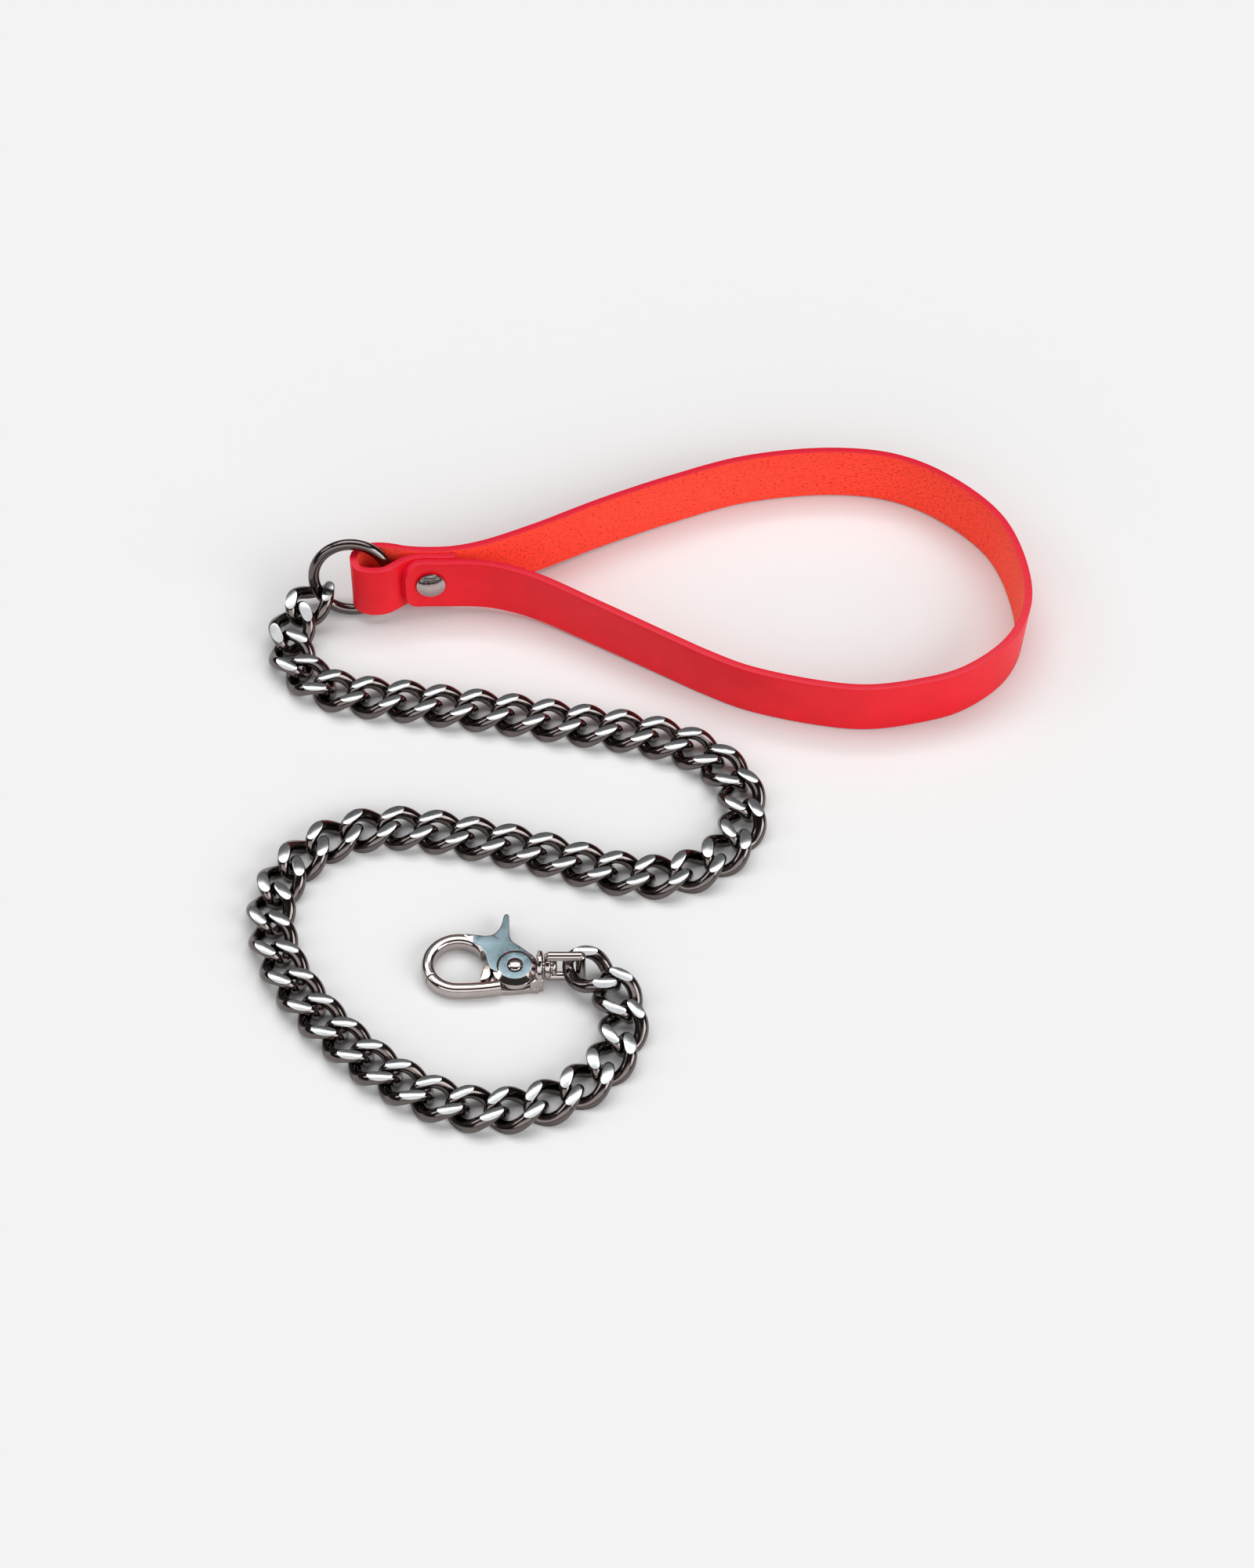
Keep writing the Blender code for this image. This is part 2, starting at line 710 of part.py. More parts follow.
def main():
    """Builds the whole leash."""
    clear_scene()
    parts = new_collection("chain_leash")
    cutters = new_collection("cutters")
    cutters.hide_render = True
    leather = new_material("red_leather", LEATHER, 0.0, 0.45)
    gunmetal = new_material("gunmetal", GUNMETAL, 1.0, 0.2)
    nickel = new_material("nickel", NICKEL, 1.0, 0.2)
    build_handle(parts, cutters, leather, gunmetal)
    build_chain(parts, gunmetal)
    build_snap(parts, cutters, nickel)


main()
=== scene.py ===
"""Looks of a chain leash: red leather wrist loop, O-ring, planed curb chain, swivel and trigger snap.

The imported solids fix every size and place, and are loaded first. Lengths are written in millimetres and
become metres through MM when a mesh is made.
"""

from __future__ import annotations

import json
import logging
import math
from dataclasses import dataclass
from enum import Enum
from typing import Any, Iterable, Sequence

import bmesh
import bpy
import numpy as np
from mathutils import Matrix, Vector

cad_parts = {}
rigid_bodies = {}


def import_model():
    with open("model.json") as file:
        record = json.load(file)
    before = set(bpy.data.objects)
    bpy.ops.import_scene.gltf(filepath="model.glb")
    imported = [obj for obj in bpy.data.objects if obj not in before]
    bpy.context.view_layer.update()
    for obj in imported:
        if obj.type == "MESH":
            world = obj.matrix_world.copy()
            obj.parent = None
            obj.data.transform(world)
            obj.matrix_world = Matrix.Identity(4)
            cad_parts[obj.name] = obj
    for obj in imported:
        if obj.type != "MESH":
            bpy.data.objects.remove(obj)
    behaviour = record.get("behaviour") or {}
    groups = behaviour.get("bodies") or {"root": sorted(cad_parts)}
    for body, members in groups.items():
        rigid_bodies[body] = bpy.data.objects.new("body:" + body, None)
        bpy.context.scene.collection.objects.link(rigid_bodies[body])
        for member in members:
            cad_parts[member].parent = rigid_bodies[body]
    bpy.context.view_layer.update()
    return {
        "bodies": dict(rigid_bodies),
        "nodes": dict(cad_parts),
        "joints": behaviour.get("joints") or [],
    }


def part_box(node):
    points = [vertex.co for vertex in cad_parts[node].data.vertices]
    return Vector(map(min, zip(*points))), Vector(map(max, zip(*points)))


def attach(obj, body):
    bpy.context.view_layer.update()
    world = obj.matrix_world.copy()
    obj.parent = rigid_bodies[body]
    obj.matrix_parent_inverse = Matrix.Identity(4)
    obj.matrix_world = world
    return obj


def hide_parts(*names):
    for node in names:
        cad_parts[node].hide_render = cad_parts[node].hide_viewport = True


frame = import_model()

MM = 0.001
LOG = logging.getLogger("chain_leash")


# ---------------------------------------------------------------- small helpers


def linear(code: str) -> tuple[float, float, float, float]:
    """Turns an sRGB hex colour such as "#C81432" into linear RGBA."""
    shown = [int(code[i : i + 2], 16) / 255 for i in (1, 3, 5)]
    lit = [v / 12.92 if v <= 0.04045 else ((v + 0.055) / 1.055) ** 2.4 for v in shown]
    return (lit[0], lit[1], lit[2], 1.0)


def add_node(
    tree: bpy.types.NodeTree,
    kind: str,
    settings: dict[str, Any] | None = None,
    inputs: dict[str | int, Any] | None = None,
) -> bpy.types.Node:
    """Adds a node, sets it up and fills its inputs.

    Args:
        tree: The node tree that gets the node.
        kind: The node's type name.
        settings: Properties of the node by name.
        inputs: Values or output sockets by input name or number; a list links several.

    Returns:
        The new node.
    """
    node = tree.nodes.new(kind)
    for name, value in (settings or {}).items():
        setattr(node, name, value)
    for key, given in (inputs or {}).items():
        for value in given if isinstance(given, list) else [given]:
            if isinstance(value, bpy.types.NodeSocket):
                tree.links.new(value, node.inputs[key])
            else:
                node.inputs[key].default_value = value
    return node


def math_chain(tree: bpy.types.NodeTree, operation: str, *values: Any) -> bpy.types.NodeSocket:
    """One Math node's result, from numbers or sockets."""
    return add_node(tree, "ShaderNodeMath", {"operation": operation}, dict(enumerate(values))).outputs[0]


def mesh_object(name: str, mesh: bpy.types.Mesh) -> bpy.types.Object:
    """An object at the origin that shows the mesh."""
    made = bpy.data.objects.new(name, mesh)
    bpy.context.scene.collection.objects.link(made)
    return made


def baked(made: bpy.types.Object) -> bpy.types.Object:
    """Turns what an object's modifiers show into its own plain mesh, and removes the modifiers.

    Args:
        made: An object at the origin, unturned and unscaled.

    Returns:
        The same object.
    """
    graph = bpy.context.evaluated_depsgraph_get()
    mesh = bpy.data.meshes.new_from_object(made.evaluated_get(graph), depsgraph=graph)
    made.modifiers.clear()
    made.data = mesh
    mesh.name = made.name
    return made


def smooth_closed(points: Sequence[tuple[float, float]], steps: int) -> list[tuple[float, float]]:
    """A closed smooth outline through the given points.

    Args:
        points: Corners of the outline, in order.
        steps: Points made for each stretch between two corners.

    Returns:
        The finer outline.
    """
    count = len(points)
    outline = []
    for i in range(count):
        a, b, c, d = (Vector(points[(i + k - 1) % count]) for k in range(4))
        for step in range(steps):
            t = step / steps
            spot = b * 2 + (c - a) * t + (a * 2 - b * 5 + c * 4 - d) * t**2 + (b * 3 - a - c * 3 + d) * t**3
            outline.append((spot.x / 2, spot.y / 2))
    return outline


def loft(rings: Sequence[Sequence[Vector]], closed: bool) -> bmesh.types.BMesh:
    """Skins equal rings of points, in millimetres.

    Args:
        rings: The rings in order.
        closed: Whether the last ring joins the first; otherwise both ends are capped.

    Returns:
        A new mesh in metres, facing out.
    """
    bm = bmesh.new()
    rows = [[bm.verts.new(Vector(point) * MM) for point in ring] for ring in rings]
    size = len(rows[0])
    for i in range(len(rows) if closed else len(rows) - 1):
        near, far = rows[i], rows[(i + 1) % len(rows)]
        for j in range(size):
            k = (j + 1) % size
            bm.faces.new((near[j], far[j], far[k], near[k]))
    if not closed:
        bm.faces.new(rows[0])
        bm.faces.new(rows[-1][::-1])
    bmesh.ops.recalc_face_normals(bm, faces=bm.faces)
    return bm


def turned(
    profile: Sequence[tuple[float, float]], centre: Vector, axis: Vector, sides: int = 48
) -> bmesh.types.BMesh:
    """A turned solid.

    Args:
        profile: Pairs of distance along the axis and radius, both ends at radius 0.
        centre: The point that distances start from, in millimetres.
        axis: Direction of the axis.
        sides: Facets round the axis.

    Returns:
        A new mesh in metres, facing out.
    """
    bm = bmesh.new()
    turn = axis.normalized().to_track_quat("Z", "Y")
    rows = []
    for along, radius in profile:
        count = sides if radius > 0 else 1
        angles = [2 * math.pi * i / count for i in range(count)]
        spots = [Vector((radius * math.cos(a), radius * math.sin(a), along)) for a in angles]
        rows.append([bm.verts.new((centre + turn @ spot) * MM) for spot in spots])
    for near, far in zip(rows, rows[1:]):
        for i in range(sides):
            corners = (near[i % len(near)], near[(i + 1) % len(near)])
            corners += (far[(i + 1) % len(far)], far[i % len(far)])
            bm.faces.new(dict.fromkeys(corners))
    bmesh.ops.recalc_face_normals(bm, faces=bm.faces)
    return bm


def plate(outline: Sequence[tuple[float, float]], low: float, high: float) -> bmesh.types.BMesh:
    """A flat plate with the given outline between two heights."""
    return loft([[Vector((x, y, z)) for x, y in outline] for z in (low, high)], False)


def rod(start: Vector, end: Vector, radius: float, sides: int = 24) -> bmesh.types.BMesh:
    """A round rod with eased ends between two points."""
    axis = end - start
    ease = radius * 0.3
    profile = (
        (0.0, 0.0),
        (0.0, radius - ease),
        (ease, radius),
        (axis.length - ease, radius),
        (axis.length, radius - ease),
        (axis.length, 0.0),
    )
    return turned(profile, start, axis, sides)


def solid_object(name: str, bm: bmesh.types.BMesh) -> bpy.types.Object:
    """Makes an object of a bmesh and frees it."""
    mesh = bpy.data.meshes.new(name)
    bm.to_mesh(mesh)
    bm.free()
    return mesh_object(name, mesh)


def lathe_piece(
    name: str,
    profile: Sequence[tuple[float, float]],
    centre: Vector,
    axis: Vector,
    sides: int = 48,
    sharp: float = 50.0,
) -> bpy.types.Object:
    """A turned piece, shaded smooth but for edges sharper than an angle in degrees."""
    made = solid_object(name, turned(profile, centre, axis, sides))
    made.data.shade_smooth()
    made.data.set_sharp_from_angle(angle=math.radians(sharp))
    return made


def cast(
    name: str,
    solids: Iterable[bmesh.types.BMesh],
    rooms: Iterable[bmesh.types.BMesh] = (),
    grain: float = 0.16,
    passes: int = 5,
    keep: float = 0.3,
) -> bpy.types.Object:
    """One die-cast piece: solids run together, rooms cut out, and every corner rounded as a mould leaves it.

    Args:
        name: Name of the piece.
        solids: The overlapping solids that make it.
        rooms: Solids that are cut away.
        grain: Side of the remeshing cells, in millimetres.
        passes: Smoothing passes, which set how round the corners get.
        keep: Share of the faces kept at the end.

    Returns:
        The piece as a plain mesh.
    """
    helpers = [solid_object(f"{name}_solid", bm) for bm in solids]
    cutters = [solid_object(f"{name}_room", bm) for bm in rooms]
    made = helpers[0]
    for helper, operation in [(h, "UNION") for h in helpers[1:]] + [(c, "DIFFERENCE") for c in cutters]:
        join = made.modifiers.new(operation, "BOOLEAN")
        join.operation = operation
        join.object = helper
    remesh = made.modifiers.new("cells", "REMESH")
    remesh.mode = "VOXEL"
    remesh.voxel_size = grain * MM
    soften = made.modifiers.new("soften", "SMOOTH")
    soften.factor = 0.5
    soften.iterations = passes
    thin = made.modifiers.new("thin", "DECIMATE")
    thin.ratio = keep
    baked(made)
    made.name = name
    made.data.name = name
    for helper in helpers[1:] + cutters:
        bpy.data.objects.remove(helper)
    made.data.shade_smooth()
    return made


def dress(
    piece: bpy.types.Object, finishes: Sequence[bpy.types.Material], body: str, slot: str, *nodes: str
) -> bpy.types.Object:
    """Gives a piece its finishes, its body, and the solids that it stands for.

    Args:
        piece: The finished piece.
        finishes: Materials in slot order.
        body: The moving body that carries it.
        slot: Name of the record's material slot; not used.
        nodes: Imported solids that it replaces.

    Returns:
        The same piece.
    """
    if not piece.data.materials:
        for finish in finishes:
            piece.data.materials.append(finish)
    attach(piece, body)
    if nodes:
        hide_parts(*nodes)
    LOG.info("%s: %d faces on %s", piece.name, len(piece.data.polygons), body)
    return piece


# ---------------------------------------------------------------- finishes


class Slot(Enum):
    """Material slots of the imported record."""

    LEATHER = "red_leather"
    GUNMETAL = "gunmetal"
    NICKEL = "nickel"


class Coat:
    """A material being mixed: a Principled shader and what feeds it."""

    def __init__(self, name: str, constants: dict[str, Any]) -> None:
        """Starts the material.

        Args:
            name: Name of the material.
            constants: Values set on the shader's own sockets.
        """
        self.made = bpy.data.materials.new(name)
        self.made.use_nodes = True
        self.tree = self.made.node_tree
        self.shader = self.tree.nodes["Principled BSDF"]
        for socket, value in constants.items():
            self.shader.inputs[socket].default_value = value

    def place(self) -> bpy.types.NodeSocket:
        """Where a point lies on its piece, in metres."""
        return add_node(self.tree, "ShaderNodeTexCoord").outputs["Object"]

    def laid(
        self, place: bpy.types.NodeSocket, scale: tuple[float, float, float], turn: float = 0.0
    ) -> bpy.types.NodeSocket:
        """The place stretched along its axes and turned about Z."""
        settings = {"Vector": place, "Rotation": (0.0, 0.0, turn), "Scale": scale}
        return add_node(self.tree, "ShaderNodeMapping", inputs=settings).outputs[0]

    def noise(
        self, place: bpy.types.NodeSocket, size_mm: float, detail: float, roughness: float = 0.5
    ) -> bpy.types.NodeSocket:
        """Noise in cells of a size in millimetres."""
        settings = {"Vector": place, "Scale": 1 / (size_mm * MM), "Detail": detail, "Roughness": roughness}
        return add_node(self.tree, "ShaderNodeTexNoise", inputs=settings).outputs[0]

    def blend(self, share: bpy.types.NodeSocket, tone: Any, other: Any) -> bpy.types.NodeSocket:
        """A colour between two, each given as an sRGB code or a socket."""
        first, second = (linear(colour) if isinstance(colour, str) else colour for colour in (tone, other))
        settings = {0: share, 6: first, 7: second}
        return add_node(self.tree, "ShaderNodeMix", {"data_type": "RGBA"}, settings).outputs[2]

    def between(self, share: bpy.types.NodeSocket, low: float, high: float) -> bpy.types.NodeSocket:
        """A value between two."""
        return add_node(self.tree, "ShaderNodeMapRange", inputs={0: share, 3: low, 4: high}).outputs[0]

    def bump(
        self,
        height: bpy.types.NodeSocket,
        strength: float,
        depth_mm: float,
        over: bpy.types.NodeSocket | None = None,
    ) -> bpy.types.NodeSocket:
        """Relief of a depth in millimetres, over another relief if one is given."""
        settings = {"Height": height, "Strength": strength, "Distance": depth_mm * MM}
        if over is not None:
            settings["Normal"] = over
        return add_node(self.tree, "ShaderNodeBump", inputs=settings).outputs[0]

    def finished(self, sockets: dict[str, bpy.types.NodeSocket]) -> bpy.types.Material:
        """Links the shader's sockets by name and hands the material over."""
        for name, socket in sockets.items():
            self.tree.links.new(socket, self.shader.inputs[name])
        return self.made


@dataclass(frozen=True)
class PlatedMetal:
    """Polished zinc or brass under an electroplated skin: a mirror, blurred a little by buffing."""

    name: str
    tone: str
    shade: str
    roughness: float
    mottle_mm: float = 3.0
    buff_mm: float = 0.5
    ripple_mm: float = 0.004

    def material(self) -> bpy.types.Material:
        """Builds the material: uneven plating colour, uneven polish and faint buffing ripple."""
        coat = Coat(self.name, {"Metallic": 1.0})
        place = coat.place()
        mottle = coat.noise(place, self.mottle_mm, 4.0)
        buff = coat.noise(place, self.buff_mm, 3.0)
        return coat.finished(
            {
                "Base Color": coat.blend(mottle, self.tone, self.shade),
                "Roughness": coat.between(mottle, self.roughness * 0.75, self.roughness * 1.35),
                "Normal": coat.bump(buff, 0.5, self.ripple_mm),
            }
        )


@dataclass(frozen=True)
class LappedMetal:
    """A face planed flat and then plated: satin, with fine lapping lines."""

    name: str
    tone: str
    shade: str
    roughness: float
    line_mm: float = 0.25
    patch_mm: float = 6.0
    depth_mm: float = 0.003

    def material(self) -> bpy.types.Material:
        """Builds the material: lines stretched one way, over patches of thicker and thinner plating."""
        coat = Coat(self.name, {"Metallic": 1.0})
        place = coat.place()
        lines = coat.noise(coat.laid(place, (0.12, 1.0, 1.0), 0.6), self.line_mm, 2.0)
        patches = coat.noise(place, self.patch_mm, 3.0)
        return coat.finished(
            {
                "Base Color": coat.blend(patches, self.tone, self.shade),
                "Roughness": coat.between(lines, self.roughness * 0.7, self.roughness * 1.4),
                "Normal": coat.bump(lines, 0.6, self.depth_mm),
            }
        )


@dataclass(frozen=True)
class GrainLeather:
    """Full-grain cowhide with a pigment finish: an even semi-gloss skin over fine pores and creases."""

    name: str = "pigmented_grain_leather"
    tone: str = "#F20E24"
    deep: str = "#DA081A"
    pore_mm: float = 0.45
    crease_mm: float = 2.2
    pigment_mm: float = 9.0

    def material(self) -> bpy.types.Material:
        """Builds the material: pebbled pores, shallow creases and slow changes of pigment."""
        coat = Coat(self.name, {"Specular IOR Level": 0.32})
        place = coat.place()
        pores = add_node(
            coat.tree,
            "ShaderNodeTexVoronoi",
            {"feature": "SMOOTH_F1"},
            {"Vector": place, "Scale": 1 / (self.pore_mm * MM), "Smoothness": 0.6},
        ).outputs[0]
        creases = coat.noise(place, self.crease_mm, 5.0, 0.6)
        pigment = coat.noise(place, self.pigment_mm, 3.0)
        return coat.finished(
            {
                "Base Color": coat.blend(pigment, self.tone, self.deep),
                "Roughness": coat.between(creases, 0.38, 0.55),
                "Normal": coat.bump(creases, 0.35, 0.12, coat.bump(pores, 0.35, 0.03)),
            }
        )


@dataclass(frozen=True)
class FleshLeather:
    """The split side of the same hide: dyed through, matt and fibrous, with dark flecks between fibres."""

    name: str = "dyed_flesh_side_leather"
    tone: str = "#FF3626"
    pale: str = "#FF5640"
    fleck: str = "#A01410"
    nap: str = "#FFC8A8"
    fibre_mm: float = 0.55
    clump_mm: float = 1.6

    def material(self) -> bpy.types.Material:
        """Builds the material: fibres laid mostly along the strap, with flecks and a raised nap."""
        coat = Coat(
            self.name,
            {
                "Specular IOR Level": 0.2,
                "Roughness": 0.92,
                "Sheen Weight": 0.25,
                "Sheen Roughness": 0.5,
                "Sheen Tint": linear(self.nap),
            },
        )
        place = add_node(coat.tree, "ShaderNodeUVMap", {"uv_map": "strap"}).outputs[0]
        laid = coat.laid(place, (0.45, 1.0, 1.0))
        fibres = coat.noise(laid, self.fibre_mm, 6.0)
        clumps = coat.noise(laid, self.clump_mm, 4.0, 0.7)
        flecks = add_node(
            coat.tree,
            "ShaderNodeMapRange",
            {"interpolation_type": "SMOOTHSTEP"},
            {0: fibres, 1: 0.52, 2: 0.68, 3: 0.0, 4: 0.7},
        ).outputs[0]
        ground = coat.blend(clumps, self.tone, self.pale)
        return coat.finished(
            {"Base Color": coat.blend(flecks, ground, self.fleck), "Normal": coat.bump(fibres, 0.7, 0.12)}
        )


@dataclass(frozen=True)
class EdgePaint:
    """Acrylic edge paint over a burnished cut edge: smooth, a little pinker than the skin."""

    name: str = "acrylic_edge_paint"
    tone: str = "#E40E30"
    deep: str = "#CC0826"
    lump_mm: float = 1.5

    def material(self) -> bpy.types.Material:
        """Builds the material: slightly lumpy paint of even gloss."""
        coat = Coat(self.name, {"Roughness": 0.4, "Specular IOR Level": 0.35})
        lumps = coat.noise(coat.place(), self.lump_mm, 4.0)
        return coat.finished(
            {"Base Color": coat.blend(lumps, self.tone, self.deep), "Normal": coat.bump(lumps, 0.4, 0.06)}
        )


class Finish(Enum):
    """Every finish of the leash."""

    # Black nickel on the chain and ring: a dark, slightly warm mirror.
    WIRE = PlatedMetal("black_nickel_wire", "#746C6A", "#5C5553", 0.11)
    # The chain's planed faces: the same plating on flat metal, cooler and more satin.
    FLAT = LappedMetal("black_nickel_planed_face", "#989C9C", "#7C7A7C", 0.13)
    # Gunmetal nickel on the die-cast snap and the rivet caps: lighter than the chain, and as glossy.
    CASTING = PlatedMetal("gunmetal_nickel_casting", "#BDB4B1", "#A89F9D", 0.1)
    # The lapped top of the gate: its satin lapping lines are real, while its darker, bluer tone is painted
    # reflection, standing in for the dim studio that the top mirrors.
    LAPPED_TOP_PAINTED_REFLECTION = LappedMetal("gunmetal_nickel_lapped_top_painted_reflection", "#66747A", "#4E5E64", 0.17)
    # Spring steel wire inside the gate.
    SPRING = PlatedMetal("spring_steel_wire", "#9A9A98", "#7E7E7E", 0.25)
    GRAIN = GrainLeather()
    FLESH = FleshLeather()
    EDGE = EdgePaint()


class Palette:
    """Makes each finish once and hands out its material."""

    def __init__(self) -> None:
        """Starts with nothing made."""
        self.made: dict[Finish, bpy.types.Material] = {}

    def __getitem__(self, finish: Finish) -> bpy.types.Material:
        """The finish's material, built on first use."""
        if finish not in self.made:
            self.made[finish] = finish.value.material()
        return self.made[finish]


# ---------------------------------------------------------------- camera and studio


@dataclass(frozen=True)
class Softbox:
    """A far panel of light, by its middle direction and half angles in degrees."""

    azimuth: float
    elevation: float
    half_width: float
    half_height: float
    radiance: float
    soft: float = 0.06


@dataclass
class Studio:
    """Camera, pale floor and soft light. The aim and the camera's distance are in metres."""

    aim: Vector
    elevation: float = 51.0
    distance: float = 1.3555
    lens: float = 95.4
    floor_tone: str = "#E4E4E4"
    floor_reach: float = 6000.0
    floor_drop: float = 0.05
    backdrop: str = "#F3F3F3"
    room: float = 0.05
    boxes: tuple[Softbox, ...] = (
        Softbox(0.0, 57.6, 28.0, 3.9, 6.0, 0.02),
        Softbox(0.0, 76.0, 38.0, 14.0, 2.3),
        Softbox(0.0, 43.0, 38.0, 9.0, 0.3),
        Softbox(118.0, 30.0, 17.0, 15.0, 4.6),
        Softbox(-80.0, 34.0, 10.0, 12.0, 3.0),
        Softbox(186.0, 28.0, 42.0, 19.0, 1.7, 0.2),
    )

    def build(self) -> None:
        """Makes the camera first, then floor and light."""
        self.build_camera()
        self.build_floor()
        self.build_world()

    def build_camera(self) -> None:
        """A long lens that looks down on the floor from the front."""
        angle = math.radians(self.elevation)
        camera = bpy.data.objects.new("camera", bpy.data.cameras.new("camera"))
        camera.data.lens = self.lens
        camera.data.clip_end = 50.0
        back = Vector((0.0, -math.cos(angle), math.sin(angle)))
        camera.location = self.aim + back * self.distance
        camera.rotation_euler = (math.pi / 2 - angle, 0.0, 0.0)
        bpy.context.scene.collection.objects.link(camera)
        bpy.context.scene.camera = camera

    def build_floor(self) -> None:
        """A wide sheet of matt paper just under the leash."""
        bm = bmesh.new()
        bmesh.ops.create_grid(bm, x_segments=8, y_segments=8, size=self.floor_reach * MM)
        floor = solid_object("floor", bm)
        floor.data.transform(Matrix.Translation((0.0, 0.0, -self.floor_drop * MM)))
        paper = {"Base Color": linear(self.floor_tone), "Roughness": 1.0, "Specular IOR Level": 0.0}
        floor.data.materials.append(Coat("matt_paper", paper).made)

    def build_world(self) -> None:
        """A dim room with softboxes, and the floor's own pale tone wherever the camera sees past it."""
        scene = bpy.context.scene
        scene.view_settings.view_transform = "Standard"
        world = bpy.data.worlds.new("studio")
        scene.world = world
        world.use_nodes = True
        tree = world.node_tree
        tree.nodes.clear()
        look = add_node(tree, "ShaderNodeTexCoord").outputs["Generated"]
        total: Any = self.room
        for box in self.boxes:
            total = math_chain(tree, "ADD", total, self.panel(tree, look, box))
        seen = add_node(tree, "ShaderNodeLightPath").outputs["Is Camera Ray"]
        light = add_node(tree, "ShaderNodeBackground", inputs={"Color": (1, 1, 1, 1), "Strength": total})
        tone = linear(self.backdrop)
        pale = add_node(tree, "ShaderNodeBackground", inputs={"Color": tone, "Strength": 1.0})
        mix = add_node(
            tree, "ShaderNodeMixShader", inputs={0: seen, 1: light.outputs[0], 2: pale.outputs[0]}
        )
        add_node(tree, "ShaderNodeOutputWorld", inputs={"Surface": mix.outputs[0]})

    def panel(
        self, tree: bpy.types.NodeTree, look: bpy.types.NodeSocket, box: Softbox
    ) -> bpy.types.NodeSocket:
        """Brightness that one softbox adds in each direction.

        Args:
            tree: The world's nodes.
            look: Direction of the ray.
            box: The softbox.

        Returns:
            The socket that carries the brightness.
        """
        azimuth = math.radians(box.azimuth)
        rise = math.radians(box.elevation)
        middle = Vector(
            (math.sin(azimuth) * math.cos(rise), math.cos(azimuth) * math.cos(rise), math.sin(rise))
        )
        across = Vector((math.cos(azimuth), -math.sin(azimuth), 0.0))
        upward = across.cross(middle)
        parts = []
        for axis, half in ((across, box.half_width), (upward, box.half_height)):
            along, ahead = (
                add_node(tree, "ShaderNodeVectorMath", {"operation": "DOT_PRODUCT"}, {0: look, 1: way})
                for way in (axis, middle)
            )
            reach = math_chain(tree, "MULTIPLY", ahead.outputs["Value"], math.tan(math.radians(half)))
            inside = math_chain(
                tree, "SUBTRACT", reach, math_chain(tree, "ABSOLUTE", along.outputs["Value"])
            )
            edge = add_node(
                tree,
                "ShaderNodeMapRange",
                {"interpolation_type": "SMOOTHSTEP"},
                {0: inside, 1: -box.soft / 2, 2: box.soft / 2, 3: 0.0, 4: 1.0},
            )
            parts.append(edge.outputs[0])
        mask = math_chain(tree, "MULTIPLY", parts[0], parts[1])
        return math_chain(tree, "MULTIPLY", mask, box.radiance)


# ---------------------------------------------------------------- leather handle


# Strap route, tail end first: x, y at the lower edge, its height, and the upper edge's lean in x and y.
STRAP_ROUTE = (
    (-64.8, 81.3, 3.0, 0.0, 2.1),
    (-70.0, 81.0, 3.1, 0.0, 2.1),
    (-76.0, 80.75, 3.4, 0.0, 2.1),
    (-79.5, 79.9, 3.6, 0.0, 2.1),
    (-82.0, 78.4, 3.8, 0.0, 2.1),
    (-84.5, 76.2, 4.1, 0.0, 2.1),
    (-87.5, 74.2, 4.1, 0.0, 2.1),
    (-91.0, 73.5, 4.1, 0.0, 2.1),
    (-94.2, 73.8, 4.1, 0.0, 2.1),
    (-96.7, 75.2, 4.1, 0.0, 2.1),
    (-97.9, 77.6, 4.1, 0.0, 2.1),
    (-97.9, 80.6, 4.1, 0.0, 2.1),
    (-96.5, 83.0, 4.1, 0.0, 2.1),
    (-93.6, 84.5, 4.1, 0.0, 2.1),
    (-90.0, 84.9, 4.1, 0.0, 2.1),
    (-86.0, 84.6, 3.9, 0.0, 2.1),
    (-82.0, 83.9, 3.7, 0.0, 2.1),
    (-78.0, 83.6, 3.5, 0.0, 2.1),
    (-73.0, 83.7, 3.2, 0.0, 2.1),
    (-65.0, 84.5, 2.9, 0.0, 2.1),
    (-55.0, 87.6, 2.3, 0.0, 2.2),
    (-38.4, 95.6, 1.4, 0.0, 2.4),
    (-15.0, 108.2, 0.7, 0.0, 2.6),
    (8.6, 119.2, 0.3, 0.2, 2.6),
    (33.7, 128.4, 0.2, 0.5, 2.5),
    (63.2, 132.1, 0.2, 0.8, 2.4),
    (84.2, 129.2, 0.2, 1.3, 2.2),
    (100.9, 119.9, 0.2, 1.8, 1.7),
    (116.8, 102.6, 0.2, 2.2, 1.0),
    (123.9, 79.8, 0.2, 2.2, 0.5),
    (124.1, 62.4, 0.2, 1.6, 0.3),
    (117.6, 47.2, 0.2, 0.6, 0.4),
    (103.0, 34.6, 0.2, 0.1, 0.6),
    (87.2, 29.2, 0.2, 0.0, 0.8),
    (71.8, 26.9, 0.2, 0.0, 0.9),
    (56.4, 28.6, 0.2, 0.0, 0.9),
    (33.0, 35.0, 0.2, 0.0, 0.9),
    (19.8, 41.4, 0.3, 0.0, 0.9),
    (5.3, 49.8, 0.5, 0.0, 1.0),
    (-16.4, 62.4, 0.9, 0.0, 1.3),
    (-38.5, 74.2, 1.7, 0.0, 1.7),
    (-51.9, 78.1, 2.3, 0.0, 2.0),
    (-60.0, 78.6, 2.7, 0.0, 2.1),
    (-66.0, 78.35, 3.0, 0.0, 2.1),
    (-72.0, 78.15, 3.2, 0.0, 2.1),
    (-77.0, 77.75, 3.4, 0.0, 2.1),
    (-80.0, 76.5, 3.6, 0.0, 2.1),
    (-81.6, 75.2, 3.7, 0.0, 2.1),
)


